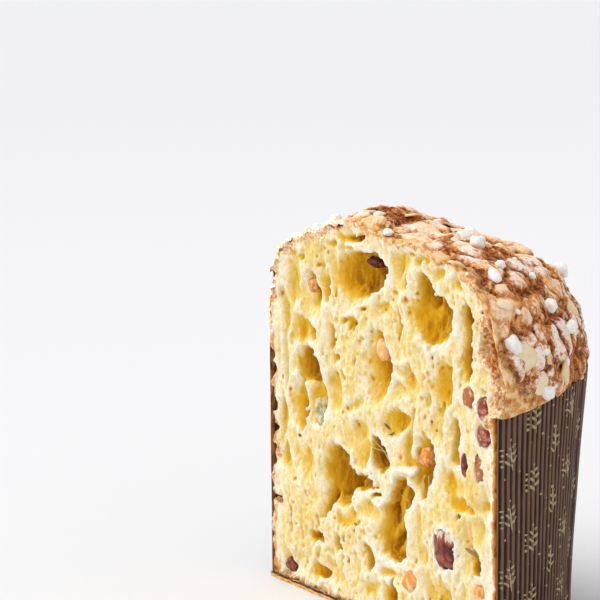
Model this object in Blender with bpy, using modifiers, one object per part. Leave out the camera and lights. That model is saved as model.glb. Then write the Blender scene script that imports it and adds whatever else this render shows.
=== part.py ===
"""Half of a tall festive loaf in its pleated paper case, cut straight down the middle.

Drawn in millimetres about the middle of the cut's bottom edge: +X to the right along the cut,
+Y into the bread, +Z up. The finished solids are moved so that the origin is the centre of the
bounding box's base, and scaled to metres.
"""
import bpy
import bmesh
import math
import random
from mathutils import Matrix, Vector, noise
from mathutils.bvhtree import BVHTree

MM = 0.001

# driving sizes, mm
CASE_HALF = 85.0           # a 170 mm case
SIDE_LOW, SIDE_RIM = 88.0, 95.0   # how deep the half is at its foot and at the rim
CASE_HEIGHT = 111.5
PLEATS = 92
PLEAT_DEPTH = 0.7
PAPER = 0.5
BASE_PAPER = 0.8
WALL_FOOT = 0.6
GAP = 0.35
BREAD_SIDE = CASE_HALF - PLEAT_DEPTH / 2 - PAPER / 2 - GAP - 0.25
BREAD_FOOT = BASE_PAPER + GAP
CENTRE_X, CENTRE_Y = 2.4, 49.0   # centre of the finished bounding box
PROUD = 0.9                # how far a raisin or a piece of peel may stand out of the cut
POCKET_GAP = 0.62          # between the bread and what is baked into it
PORES = 12                 # small holes drawn at random between the bubbles

# surface colours: red, green and blue of the base colour, then the roughness
BREAD = (0.90, 0.74, 0.38, 0.85)
CASE_PAPER = (0.20, 0.13, 0.11, 0.80)
CASE_BASE = (0.62, 0.38, 0.18, 0.85)
RAISIN_SKIN = (0.22, 0.07, 0.06, 0.45)
CANDIED_PEEL = (0.80, 0.38, 0.08, 0.35)
CANDIED_CITRON = (0.62, 0.60, 0.34, 0.40)

# the crust's outline up six bearings, radius and height, from the case's rim to the crown
SECTIONS = {
    0: [(86.3, 112.6), (89.4, 113.2), (90.4, 118), (89.4, 127), (87.6, 136), (85, 146), (81, 154.5), (75, 162),
        (65, 169), (56, 173), (45, 175), (31, 176.5), (16, 178), (0, 180)],
    35: [(86.0, 117.0), (86.6, 118.2), (86.6, 123), (86.0, 130), (84.2, 138), (80.5, 146.5), (75.8, 154), (69, 162),
         (60.5, 168.5), (50, 173.5), (38, 177), (25, 178.8), (12, 179.5), (0, 180)],
    70: [(85.8, 117.8), (86.2, 119), (86.2, 123), (85.2, 131), (82.8, 140), (78.8, 148.5), (73.5, 156), (66, 162.5),
         (56, 168), (45, 171.5), (34, 174), (22, 176.5), (10, 179), (0, 180)],
    100: [(85.8, 117.8), (86.2, 119), (86.2, 123), (85.6, 131), (83.8, 140), (80, 148.5), (75, 156.5), (68, 163.5),
          (58, 169), (46, 172.5), (35, 175), (23, 177.5), (11, 179.6), (0, 180)],
    140: [(85.6, 117.8), (86, 119), (86.2, 123), (86, 131), (85.2, 140), (82.6, 149), (78, 158), (71, 166), (61, 173),
          (50, 178.5), (38, 182.5), (26, 184), (12, 182.6), (0, 180)],
    180: [(85.3, 112.3), (85.4, 115), (85, 122), (84.7, 129), (84, 137), (84.3, 145), (82.5, 152.5), (77.5, 159),
          (70, 164), (60, 168.5), (49, 172.5), (36, 177.5), (20, 181), (0, 180)],
}

# bubbles that the cut opened: x, z, half width, half height, lean, depth, how far behind the cut
BUBBLES = [
    (-14, 158.5, 21, 8.5, 17, 15, 2), (-19, 173.6, 11, 1.5, 13, 4.5, 0), (-51, 146, 5.2, 5.2, 0, 7.5, 1.5),
    (-41, 146.5, 3.4, 6, 0, 3, 0), (-61, 124, 9, 7.6, 0, 4.5, -0.6), (-53.5, 124.5, 3.4, 3.4, 0, 7, 1),
    (-58, 108, 10, 8.4, 28, 14, 3), (-62, 87, 6, 10.5, 0, 5, 0), (-37.5, 125, 2.2, 4.2, 0, 5, 1),
    (-33, 116.5, 2.8, 2.2, 0, 4, 0.5), (-27.5, 107.5, 2.7, 2.2, 0, 5, 1), (-1, 120, 9, 14.5, 0, 9, 1),
    (38, 147.5, 14.5, 12, 0, 14, 2), (33, 158, 5.5, 8.5, 12, 10, 2), (62, 141, 5.2, 17.5, 0, 9, 1),
    (46, 119.5, 7.5, 12.5, 0, 5, -0.6), (15, 141, 1.6, 6, 0, 4, 0.5), (54.5, 95, 5.6, 9.5, 0, 9, 1.5),
    (-33, 61, 11.5, 14, 8, 17, 3), (-16, 61, 10, 3.6, 10, 9, 1), (-40, 46, 3.4, 8.5, -18, 7, 1),
    (-1, 78.5, 7, 6.8, 0, 19, 6), (11.5, 95, 9, 6, 16, 5, 0), (-15, 75, 5.6, 8.5, 0, 4.2, 0),
    (-4.5, 58.5, 4, 2, 25, 7, 1), (9, 44, 12.5, 13.5, 14, 17, 3), (15, 61, 8.2, 9, -28, 13, 2.5),
    (31, 78, 8, 14.5, -8, 11, 2), (-9, 27, 5, 6.4, 0, 7, 1), (69.5, 44.5, 5, 5, 0, 9, 1.5),
    (-31.5, 27, 2.6, 4, 0, 4, 0), (-49, 28.5, 6, 2.2, 6, 4, 0), (-69, 31, 1.7, 5, 0, 4, 0.5),
    (-56, 62, 4, 8, 0, 2.6, -0.4), (-27, 42, 8, 4, 12, 3.6, -0.4), (60, 68.5, 11, 2.6, 0, 3.4, -0.3),
    (50, 76, 5, 6, 0, 3.2, -0.4), (8, 14.5, 7.5, 4.5, 8, 6, 0.5), (45, 22, 7, 9, 0, 4.2, -0.5),
    (-46, 12.5, 6, 3.5, 0, 4.5, 0), (56, 164.5, 4, 2, -20, 4, 0), (19, 160, 3.2, 3.6, 0, 4, 0),
    (-66, 141, 3, 5, 0, 3.4, 0), (-20, 134, 5, 3, 20, 3, -0.3), (23, 118, 4, 6, 0, 3.2, -0.3),
    (-74.5, 62, 2, 5, 0, 3, 0), (31, 11, 5, 3, 0, 4.5, 0.5), (64, 14, 4, 5, 0, 4.5, 0.5),
    (-49, 95, 6.5, 14, 4, 5, -0.5),
]
# what is baked in: name, x, z, how far behind the cut, half sizes across, in and up, lean
RAISINS = [
    ("raisin_low", 48.2, 45.5, 6.2, 8.2, 6.6, 9.6, 0), ("raisin_rim", 75, 114.6, 3.6, 3.8, 4.2, 4.9, 8),
    ("raisin_edge", 75.2, 103, 3.8, 4, 4.4, 4.8, -12), ("raisin_side", 62.6, 87.2, 3.8, 2.5, 4.4, 6, 6),
    ("raisin_foot", -70, 8.4, 3.2, 4.2, 3.7, 2.8, -12), ("raisin_crown", -15, 162.3, 12.5, 5.2, 4, 2.9, 0),
]
PEEL = [
    ("peel_middle", 0.5, 125.5, 5.6, 3.9, 3.6, 5, 12), ("peel_hollow", 29, 82.5, 8, 4.4, 4.2, 5.4, -22),
    ("peel_side", 73.2, 87.5, 3.2, 2.8, 3.6, 6.6, 10), ("peel_wall", 64.4, 117.6, 4, 3.6, 4.2, 4.6, 0),
    ("peel_low", 22.6, 24.6, 3.4, 4.6, 4, 6, -30), ("peel_edge", 73.2, 32.6, 3, 3.8, 3.4, 2.4, 10),
    ("peel_shoulder", -54, 145, 5.5, 3.3, 2.8, 3.5, 20),
]
CITRON = [("citron", -46.6, 87, 4.6, 3.9, 3.9, 6.8, 14)]

# what is baked onto the crust: bearing, elevation above the rim's centre, then the size
ALMONDS = [  # bearing, elevation, long, short, turn, lift
    (22, 75, 12, 7.5, 10, 6), (4, 57, 9, 6.5, 40, 4), (9, 16, 13, 11, 60, 10), (13, 8.5, 12, 9.5, 20, 12),
    (28, 7.5, 11.5, 9.5, 70, 14), (20, 13, 13, 5, 85, 8), (38, 62, 9, 5, 15, 8), (118, 64, 13, 7, 5, 10),
    (150, 60, 11, 6.5, 30, 6), (60, 40, 12, 8, 50, 6), (88, 30, 12, 8, 120, 7), (112, 44, 11.5, 7.5, 80, 6),
    (133, 22, 12.5, 8, 30, 8), (160, 26, 11, 7.5, 100, 6), (74, 16, 12, 8.5, 65, 9), (50, 22, 11, 8, 10, 8),
]
SUGAR = [  # bearing, elevation, half size, how long for its width
    (37, 55.5, 3.3, 1.1), (78, 56, 3.7, 1.05), (32, 27, 3.4, 1), (6, 20.5, 3.6, 1.5), (16, 5.5, 3.3, 1.1),
    (38, 19, 2.7, 2), (30.5, 11, 2.5, 1.2), (13, 41, 3, 1.4), (176, 30, 3, 1.3), (96, 46, 3.3, 1.2),
    (120, 33, 3.1, 1.3), (148, 42, 3.4, 1.1), (66, 29, 3, 1.4), (104, 18, 3.2, 1.2), (140, 12, 3, 1.3),
    (165, 50, 3, 1.1), (84, 9, 2.9, 1.2),
]


def resample(path, count):
    """The path's points at equal steps along it."""
    run = [0.0]
    for one, two in zip(path, path[1:]):
        run.append(run[-1] + math.dist(one, two))
    out = []
    for step in range(count + 1):
        at = run[-1] * step / count
        leg = 0
        while leg < len(path) - 2 and run[leg + 1] < at:
            leg += 1
        part = (at - run[leg]) / (run[leg + 1] - run[leg])
        out.append(tuple(a + (b - a) * part for a, b in zip(path[leg], path[leg + 1])))
    return out


def stretch(z):
    """How much deeper than wide the half is at a height."""
    return (SIDE_LOW + (SIDE_RIM - SIDE_LOW) * min(max(z / CASE_HEIGHT, 0.0), 1.0)) / CASE_HALF


def section(bearing, rows):
    """The crust's outline up one bearing, blended from the two beside it."""
    keys = sorted(SECTIONS)
    low = max(k for k in keys if k <= bearing + 1e-6)
    high = min(k for k in keys if k >= bearing - 1e-6)
    part = 0.0 if low == high else (bearing - low) / (high - low)
    part = part * part * (3 - 2 * part)
    pairs = zip(resample(SECTIONS[low], rows), resample(SECTIONS[high], rows))
    return [(a[0] + (b[0] - a[0]) * part, a[1] + (b[1] - a[1]) * part) for a, b in pairs]


def lump(point, height):
    """How far the crust swells or sinks at a point: plates parted by cracks, over broad lumps."""
    near = noise.voronoi(point / 15.0)[0]
    crack = min(max((near[1] - near[0]) / 0.42, 0.0), 1.0)
    swell = 2.1 * noise.noise(point / 20.0) + 1.5 * noise.noise(point / 8.5 + Vector((7, 3, 1)))
    fade = min(max((height - 113.0) / 10.0, 0.0), 1.0) * min(1.0, 0.2 + math.hypot(point.x, point.y) / 22.0)
    return fade * (swell + 2.0 * crack - 1.3)


def rim(bearing):
    """The height of the case's rim, just under the crust that hangs over it."""
    return section(bearing, 20)[0][1] - 0.8


def blank_loaf():
    """The half loaf before its bubbles: side, dome and flat cut."""
    columns, rows = 42, 19
    made = bmesh.new()
    grid = []
    for c in range(columns + 1):
        bearing = 180.0 * c / columns
        turn = math.radians(bearing)
        out = []
        top = rim(bearing) + GAP
        side = [(BREAD_SIDE, BREAD_FOOT), (BREAD_SIDE, 30.0), (BREAD_SIDE, 58.0), (BREAD_SIDE, 86.0),
                (BREAD_SIDE, top)]
        dome = section(bearing, rows)
        for r, z in side + dome[:-1]:
            out.append(Vector((r * math.cos(turn), r * math.sin(turn) * stretch(z), z)))
        grid.append(out)
    side_rows = 5
    crown = Vector((0, 0, 180.0))
    moved = []
    for c, out in enumerate(grid):
        new = list(out)
        for k in range(side_rows + 1, len(out)):
            across = out[k + 1] if k + 1 < len(out) else crown
            along = (across - out[k - 1]).normalized()
            around = grid[min(c + 1, columns)][k] - grid[max(c - 1, 0)][k]
            if c in (0, columns):
                around = Vector((0, 1 if c == 0 else -1, 0))
            way = around.cross(along).normalized()
            if way.dot(out[k] - Vector((0, 0, 120))) < 0:
                way = -way
            if c in (0, columns):
                way.y = 0
            new[k] = out[k] + way * lump(out[k], out[k].z)
            new[k].y = max(new[k].y, 0.0)
        moved.append(new)
    verts = [[made.verts.new(p) for p in out] for out in moved]
    tip = made.verts.new(crown + Vector((0, 0, 0.6)))
    for c in range(columns):
        for k in range(len(verts[0]) - 1):
            made.faces.new((verts[c][k], verts[c + 1][k], verts[c + 1][k + 1], verts[c][k + 1]))
        made.faces.new((verts[c][-1], verts[c + 1][-1], tip))
    made.faces.new([verts[c][0] for c in range(columns, -1, -1)])
    made.faces.new(verts[0] + [tip] + verts[columns][::-1])
    bmesh.ops.recalc_face_normals(made, faces=made.faces)
    return made


def finish(name, look):
    """A material of one colour and roughness."""
    surface = bpy.data.materials.new(name)
    surface.use_nodes = True
    shader = surface.node_tree.nodes["Principled BSDF"]
    shader.inputs["Base Color"].default_value = (*look[:3], 1.0)
    shader.inputs["Roughness"].default_value = look[3]
    shader.inputs["Metallic"].default_value = 0.0
    return surface


def keep(name, made, group, look=None):
    """A mesh object in a collection, from a bmesh drawn in millimetres about the cut's foot."""
    bmesh.ops.transform(made, matrix=Matrix.Scale(MM, 4) @ Matrix.Translation((-CENTRE_X, -CENTRE_Y, 0)),
                        verts=made.verts)
    mesh = bpy.data.meshes.new(name)
    made.to_mesh(mesh)
    made.free()
    thing = bpy.data.objects.new(name, mesh)
    group.objects.link(thing)
    if look:
        mesh.materials.append(finish(name, look))
    return thing


def blob(made, centre, sizes, lean, detail, rough=0.0, seed=0.0, grow=0.0):
    """A rounded lump, leaned in the plane of the cut, roughened by noise."""
    new = bmesh.ops.create_icosphere(made, subdivisions=detail, radius=1.0)["verts"]
    turn = Matrix.Rotation(math.radians(-lean), 3, 'Y')
    for vert in new:
        way = vert.co.normalized()
        swell = 1.0 + rough * noise.noise(way * 1.7 + Vector((seed, seed * 0.7, 3)))
        at = Vector([way[i] * sizes[i] * swell for i in range(3)])
        skin = Vector([way[i] / sizes[i] for i in range(3)]).normalized()
        vert.co = Vector(centre) + turn @ (at + skin * grow)
    return new


def join_or_cut(target, group, operation):
    """One Boolean of the target with a collection, applied; the collection is then emptied."""
    step = target.modifiers.new("step", 'BOOLEAN')
    step.operation = operation
    step.operand_type = 'COLLECTION'
    step.collection = group
    step.solver = 'EXACT'
    bpy.context.view_layer.objects.active = target
    bpy.ops.object.modifier_apply(modifier=step.name)
    for thing in list(group.objects):
        bpy.data.objects.remove(thing)
    made = bmesh.new()
    made.from_mesh(target.data)
    bmesh.ops.dissolve_limit(made, angle_limit=math.radians(1.5), verts=made.verts, edges=made.edges)
    bmesh.ops.triangulate(made, faces=made.faces)
    made.to_mesh(target.data)
    made.free()


def baked_in(entries, rough, first, look):
    """Raisins or candied fruit as solids, and for each a pocket in the bread, a little larger."""
    for number, (name, x, z, behind, across, inward, up, lean) in enumerate(entries):
        seed = first + 4.3 * number
        sizes = (across, inward, up)
        made = bmesh.new()
        blob(made, (x, behind, z), sizes, lean, 2, rough, seed)
        for vert in made.verts:
            vert.co.y = max(vert.co.y, -PROUD)
        keep(name, made, whole, look)
        made = bmesh.new()
        blob(made, (x, behind, z), sizes, lean, 2, rough, seed, POCKET_GAP)
        keep("pocket_" + name, made, cutters)


def open_bubbles():
    """The bubbles that the cut opened, as cutters."""
    for number, (x, z, across, up, lean, depth, behind) in enumerate(BUBBLES):
        made = bmesh.new()
        detail = 3 if across * up > 150 else 2
        blob(made, (x, behind, z), (across, depth, up), lean, detail, 0.16, 11.0 + 1.9 * number)
        keep("bubble_%02d" % number, made, cutters)


def small_pores():
    """Small holes at random places on the cut, clear of the bubbles and of the fruit."""
    draw = random.Random(41)
    taken = [(b[0], b[1], max(b[2], b[3])) for b in BUBBLES]
    taken += [(p[1], p[2], max(p[4], p[6])) for p in RAISINS + PEEL + CITRON]
    count = 0
    while count < PORES:
        x, z = draw.uniform(-76, 76), draw.uniform(8, 160)
        size = draw.uniform(1.5, 2.6)
        if math.hypot(x / 78, max(z - 100, 0) / 68) > 1:
            continue
        if all(math.hypot(x - a, z - b) > size + c + 1.5 for a, b, c in taken):
            made = bmesh.new()
            tall = size * draw.uniform(1.0, 1.7)
            blob(made, (x, 0.3, z), (size, 3.0, tall), draw.uniform(-30, 30), 2, 0.1, 60 + count)
            keep("pore_%02d" % count, made, cutters)
            taken.append((x, z, size * 1.7))
            count += 1


def on_crust(tree, bearing, elevation):
    """Where a ray from the middle of the rim leaves the crust, and which way the crust faces there."""
    b, e = math.radians(bearing), math.radians(elevation)
    way = Vector((math.cos(b) * math.cos(e), max(math.sin(b) * math.cos(e), 0.01), math.sin(e)))
    spot, out, _, _ = tree.ray_cast(Vector((0, 0.3, CASE_HEIGHT)), way)
    return spot, out if out.dot(way) > 0 else -out


def lying(out, turn):
    """Axes along, across and out of the crust for a topping turned by so many degrees."""
    guide = Vector((0, 0, 1)) if abs(out.z) < 0.9 else Vector((0, 1, 0))
    side = out.cross(guide).normalized()
    fore = out.cross(side).normalized()
    c, s = math.cos(math.radians(turn)), math.sin(math.radians(turn))
    return Matrix((side * c + fore * s, fore * c - side * s, out)).transposed()


def behind_cut(made):
    """Holds a topping behind the plane of the cut."""
    for vert in made.verts:
        vert.co.y = max(vert.co.y, 0.15)
    bmesh.ops.recalc_face_normals(made, faces=made.faces)


def almond_flakes(tree):
    """Thin oval slices of almond, half sunk in the crust."""
    for number, (bearing, elevation, long, short, turn, lift) in enumerate(ALMONDS):
        spot, out = on_crust(tree, bearing, elevation)
        axes = lying(out, turn) @ Matrix.Rotation(math.radians(lift), 3, 'Y')
        made = bmesh.new()
        disc = bmesh.ops.create_cone(made, cap_ends=True, segments=9, radius1=0.93, radius2=0.9, depth=2.4)
        for vert in disc["verts"]:
            a = math.atan2(vert.co.y, vert.co.x)
            wave = 1 + 0.07 * math.sin(3 * a + number)
            bend = 0.35 * math.cos(2 * a + number)
            p = Vector((vert.co.x * long / 2 * wave, vert.co.y * short / 2 * wave, vert.co.z + bend))
            vert.co = spot + axes @ p + out * 0.3
        behind_cut(made)
        keep("almond_%02d" % number, made, toppings)


def pearl_sugar(tree):
    """Coarse grains of pearl sugar, part sunk in the crust."""
    for number, (bearing, elevation, size, longer) in enumerate(SUGAR):
        spot, out = on_crust(tree, bearing, elevation)
        axes = lying(out, 37.0 * number)
        made = bmesh.new()
        for vert in bmesh.ops.create_icosphere(made, subdivisions=1, radius=1.12)["verts"]:
            swell = size * (1 + 0.22 * noise.noise(vert.co * 1.4 + Vector((number * 3.1, 0, 0))))
            vert.co.x *= longer
            vert.co.z *= 0.85
            vert.co = spot + axes @ (vert.co * swell) + out * size * 0.3
        behind_cut(made)
        keep("sugar_%02d" % number, made, toppings)


def case_wall():
    """The pleated wall: an open zigzag sheet, given the paper's thickness."""
    made = bmesh.new()
    lower, upper = [], []
    for k in range(2 * PLEATS + 1):
        turn = math.pi * k / (2 * PLEATS)
        r = CASE_HALF + PLEAT_DEPTH / 2 * (1 if k % 2 else -1)
        high = rim(math.degrees(turn))
        lower.append(made.verts.new((r * math.cos(turn), r * math.sin(turn) * stretch(0), WALL_FOOT)))
        upper.append(made.verts.new((r * math.cos(turn), r * math.sin(turn) * stretch(high), high)))
    for k in range(2 * PLEATS):
        made.faces.new((lower[k], lower[k + 1], upper[k + 1], upper[k]))
    wall = keep("paper_wall", made, whole, CASE_PAPER)
    thick = wall.modifiers.new("paper", 'SOLIDIFY')
    thick.thickness = PAPER * MM
    thick.offset = 0.0


def case_base():
    """The half round bottom of the case, inside the wall's foot."""
    made = bmesh.new()
    edge = CASE_HALF - PLEAT_DEPTH / 2 - PAPER / 2 - GAP
    turns = [math.pi * k / 60 for k in range(61)]
    loop = [made.verts.new((edge * math.cos(t), edge * math.sin(t) * stretch(0), 0)) for t in turns]
    lifted = bmesh.ops.extrude_face_region(made, geom=[made.faces.new(loop)])
    top = [v for v in lifted["geom"] if isinstance(v, bmesh.types.BMVert)]
    bmesh.ops.translate(made, vec=(0, 0, BASE_PAPER), verts=top)
    bmesh.ops.recalc_face_normals(made, faces=made.faces)
    keep("paper_base", made, whole, CASE_BASE)


for old in list(bpy.data.objects):
    bpy.data.objects.remove(old)
whole = bpy.data.collections.new("half_loaf")
cutters = bpy.data.collections.new("cutters")
toppings = bpy.data.collections.new("toppings")
for group in (whole, cutters, toppings):
    bpy.context.scene.collection.children.link(group)

skin = blank_loaf()
crust = BVHTree.FromBMesh(skin)
loaf = keep("loaf", skin, whole, BREAD)
open_bubbles()
small_pores()
baked_in(RAISINS, 0.22, 2.0, RAISIN_SKIN)
baked_in(PEEL, 0.3, 31.0, CANDIED_PEEL)
baked_in(CITRON, 0.25, 77.0, CANDIED_CITRON)
join_or_cut(loaf, cutters, 'DIFFERENCE')
almond_flakes(crust)
pearl_sugar(crust)
join_or_cut(loaf, toppings, 'UNION')
case_wall()
case_base()
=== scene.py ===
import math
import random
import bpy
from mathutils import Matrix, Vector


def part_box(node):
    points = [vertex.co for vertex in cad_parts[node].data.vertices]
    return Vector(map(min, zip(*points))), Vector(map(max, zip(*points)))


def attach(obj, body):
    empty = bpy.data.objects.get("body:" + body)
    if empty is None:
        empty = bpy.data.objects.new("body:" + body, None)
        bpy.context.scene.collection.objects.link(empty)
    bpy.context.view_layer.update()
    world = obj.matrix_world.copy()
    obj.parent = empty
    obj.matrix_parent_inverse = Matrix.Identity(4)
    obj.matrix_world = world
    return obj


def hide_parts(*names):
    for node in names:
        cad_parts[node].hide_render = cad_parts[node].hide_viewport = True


bl_info = {
    "name": "Half festive loaf",
    "version": (1, 0, 0),
    "blender": (4, 5, 0),
    "location": "3D View > Sidebar > Loaf",
    "description": "Dresses a half loaf: open crumb, almond and sugar crust, fruit and a pleated paper case",
    "category": "Object",
}

import bmesh
import bpy
import numpy as np
import openvdb
from bpy.props import FloatProperty, FloatVectorProperty, IntProperty, PointerProperty
from mathutils import Matrix, Vector, noise
from mathutils.bvhtree import BVHTree

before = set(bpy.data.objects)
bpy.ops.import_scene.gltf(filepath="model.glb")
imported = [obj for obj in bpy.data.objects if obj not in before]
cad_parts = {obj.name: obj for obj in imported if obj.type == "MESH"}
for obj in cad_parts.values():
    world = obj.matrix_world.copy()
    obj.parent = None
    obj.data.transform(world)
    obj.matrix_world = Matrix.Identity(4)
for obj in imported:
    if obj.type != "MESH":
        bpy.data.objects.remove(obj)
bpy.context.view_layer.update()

MM = 0.001
wall_low, wall_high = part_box("paper_wall")
# the middle of the cut's bottom edge, from which every place below is measured in millimetres
FOOT = Vector(((wall_low[0] + wall_high[0]) / 2, wall_low[1], 0.0))

# the case in millimetres: half its width, its depth at the foot and at the rim, its height, the bread's half
# width in it and its base's thickness, then the bearing of its glued seam in degrees
CASE_HALF = 85.0
SIDE_LOW, SIDE_RIM = 88.0, 95.0
CASE_HEIGHT = 111.5
BREAD_SIDE = 83.8
BASE_PAPER = 0.8
SEAM = 38.7

# the camera that took the photo: degrees turned to the right, above level and leaning, its distance and what
# it aims at in millimetres, its focal length in pixels of the frame's width, and the sensor in millimetres
CAMERA_TURN, CAMERA_CLIMB, CAMERA_LEAN = 55.2, 13.0, -0.55
CAMERA_FAR = 1500.0
CAMERA_AIM = Vector((-60.3, 0, 137.4))
FOCAL_PIXELS, FRAME_PIXELS, SENSOR = 3286, 600, 36.0

# the crust's outline up six bearings, radius and height, from the case's rim to the crown
SECTIONS = {
    0: [
        (86.3, 112.6), (89.4, 113.2), (90.4, 118), (89.4, 127), (87.6, 136), (85, 146), (81, 154.5),
        (75, 162), (65, 169), (56, 173), (45, 175), (31, 176.5), (16, 178), (0, 180),
    ],
    35: [
        (86.0, 117.0), (86.6, 118.2), (86.6, 123), (86.0, 130), (84.2, 138), (80.5, 146.5), (75.8, 154),
        (69, 162), (60.5, 168.5), (50, 173.5), (38, 177), (25, 178.8), (12, 179.5), (0, 180),
    ],
    70: [
        (85.8, 117.8), (86.2, 119), (86.2, 123), (85.2, 131), (82.8, 140), (78.8, 148.5), (73.5, 156),
        (66, 162.5), (56, 168), (45, 171.5), (34, 174), (22, 176.5), (10, 179), (0, 180),
    ],
    100: [
        (85.8, 117.8), (86.2, 119), (86.2, 123), (85.6, 131), (83.8, 140), (80, 148.5), (75, 156.5),
        (68, 163.5), (58, 169), (46, 172.5), (35, 175), (23, 177.5), (11, 179.6), (0, 180),
    ],
    140: [
        (85.6, 117.8), (86, 119), (86.2, 123), (86, 131), (85.2, 140), (82.6, 149), (78, 158), (71, 166),
        (61, 173), (50, 178.5), (38, 182.5), (26, 184), (12, 182.6), (0, 180),
    ],
    180: [
        (85.3, 112.3), (85.4, 115), (85, 122), (84.7, 129), (84, 137), (84.3, 145), (82.5, 152.5),
        (77.5, 159), (70, 164), (60, 168.5), (49, 172.5), (36, 177.5), (20, 181), (0, 180),
    ],
}

# bubbles that the cut opened: x, z, half width, half height, lean, depth, how far behind the cut
BUBBLES = [
    (-14, 157.5, 20, 10, 17, 12, 2), (-19, 173.6, 11, 1.5, 13, 4.5, 0), (-52, 144.5, 3.6, 6.6, 4, 6, 1),
    (-41, 146.5, 3.4, 6, 0, 3, 0), (-61, 124, 9, 7.6, 0, 4.5, -0.6), (-53.5, 124.5, 3.4, 3.4, 0, 7, 1),
    (-58, 108, 10, 8.4, 28, 14, 3), (-62, 87, 6, 10.5, 0, 5, 0), (-37.5, 125, 2.2, 4.2, 0, 5, 1),
    (-33, 116.5, 2.8, 2.2, 0, 4, 0.5), (-27.5, 107.5, 2.7, 2.2, 0, 5, 1), (-1, 120, 9, 14.5, 0, 9, 1),
    (38, 147.5, 14.5, 12, 0, 7.4, 1.0), (33, 158, 5.5, 8.5, 12, 10, 2), (62, 141, 5.2, 17.5, 0, 9, 1),
    (46, 119.5, 7.5, 12.5, 0, 5, -0.6), (15, 141, 1.6, 6, 0, 4, 0.5), (54.5, 95, 5.6, 9.5, 0, 9, 1.5),
    (-33, 61, 11.5, 14, 8, 17, 3), (-16, 61, 10, 3.6, 10, 9, 1), (-40, 46, 3.4, 8.5, -18, 7, 1),
    (-1, 78, 7.5, 8.2, 0, 20, 6), (11.5, 95, 9, 6, 16, 5, 0), (-15, 75, 5.6, 8.5, 0, 4.2, 0),
    (-4.5, 58.5, 4, 2, 25, 7, 1), (9, 44, 12.5, 13.5, 14, 17, 3), (15, 61, 8.2, 9, -28, 13, 2.5),
    (31, 78, 8, 14.5, -8, 11, 2), (-9, 27, 5, 6.4, 0, 7, 1), (69.5, 44.5, 5, 5, 0, 9, 1.5),
    (-31.5, 27, 2.6, 4, 0, 4, 0), (-49, 28.5, 6, 2.2, 6, 4, 0), (-69, 31, 1.7, 5, 0, 4, 0.5),
    (-56, 62, 4, 8, 0, 2.6, -0.4), (-27, 42, 8, 4, 12, 3.6, -0.4), (60, 68.5, 11, 2.6, 0, 3.4, -0.3),
    (50, 76, 5, 6, 0, 3.2, -0.4), (8, 14.5, 7.5, 4.5, 8, 6, 0.5), (45, 22, 7, 9, 0, 4.2, -0.5),
    (-46, 12.5, 6, 3.5, 0, 4.5, 0), (56, 164.5, 4, 2, -20, 4, 0), (19, 160, 3.2, 3.6, 0, 4, 0),
    (-66, 141, 3, 5, 0, 3.4, 0), (-20, 134, 5, 3, 20, 3, -0.3), (23, 118, 4, 6, 0, 3.2, -0.3),
    (-74.5, 62, 2, 5, 0, 3, 0), (31, 11, 5, 3, 0, 4.5, 0.5), (64, 14, 4, 5, 0, 4.5, 0.5),
    (-49, 95, 6.5, 14, 4, 5, -0.5),
]
# how widely a bubble's rim is rounded, 4 mm if it isn't here, and how much its left side slopes, 0.9 if not
SOFT = {(-14, 157.5): 7.0, (-33, 61): 5.5}
SLOPE = {
    (38, 147.5): 0.5, (62, 141): 0.3, (33, 158): 0.4, (-1, 78): 0.1, (-4.5, 58.5): 0.2, (69.5, 44.5): 0.3,
    (15, 61): 0.4, (-14, 157.5): 1.0,
}
# what is baked in: name, x, z, how far behind the cut, half sizes across, in and up, lean
RAISINS = [
    ("raisin_low", 48.2, 45.5, 6.2, 8.2, 6.6, 9.6, 0), ("raisin_rim", 75, 114.6, 3.6, 3.8, 4.2, 4.9, 8),
    ("raisin_edge", 75.2, 103, 3.8, 4, 4.4, 4.8, -12), ("raisin_side", 62.6, 87.2, 3.8, 2.5, 4.4, 6, 6),
    ("raisin_foot", -70, 8.4, 3.2, 4.2, 3.7, 2.8, -12),
    ("raisin_crown", -15, 162.3, 12.5, 5.2, 4, 2.9, 0),
]
PEEL = [
    ("peel_middle", 0.5, 125.5, 5.6, 3.9, 3.6, 5, 12), ("peel_hollow", 29, 82.5, 8, 4.4, 4.2, 5.4, -22),
    ("peel_side", 73.2, 87.5, 3.2, 2.8, 3.6, 6.6, 10), ("peel_wall", 64.4, 117.6, 4, 3.6, 4.2, 4.6, 0),
    ("peel_low", 22.6, 24.6, 3.4, 4.6, 4, 6, -30), ("peel_edge", 73.2, 32.6, 3, 3.8, 3.4, 2.4, 10),
    ("peel_shoulder", -54, 145, 5.5, 3.3, 2.8, 3.5, 20),
]
# how brown each piece of peel is, from pale pink orange at 0 to brown at 1
TINT = {
    "peel_middle": 0.1, "peel_hollow": 0.5, "peel_side": 0.85, "peel_wall": 0.8, "peel_low": 0.4,
    "peel_edge": 0.45, "peel_shoulder": 0.5, "citron": 0.0,
}
# how much of each fruit the cut shows, as a share of its width, 0.85 if it isn't here
OPEN = {
    "raisin_low": 1.02, "raisin_foot": 1.1, "peel_hollow": 1.0, "peel_side": 1.0, "raisin_rim": 1.05,
    "raisin_edge": 1.05, "peel_wall": 0.95,
}
# how much redder than the others these raisins are
REDDER = {
    "raisin_rim": 0.14, "raisin_edge": 0.12, "raisin_low": -0.12, "raisin_side": -0.1,
    "raisin_foot": -0.1, "raisin_crown": -0.2,
}
CITRON = [
    ("citron", -46.6, 87, 4.6, 3.9, 3.9, 6.8, 14),
]
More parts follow.
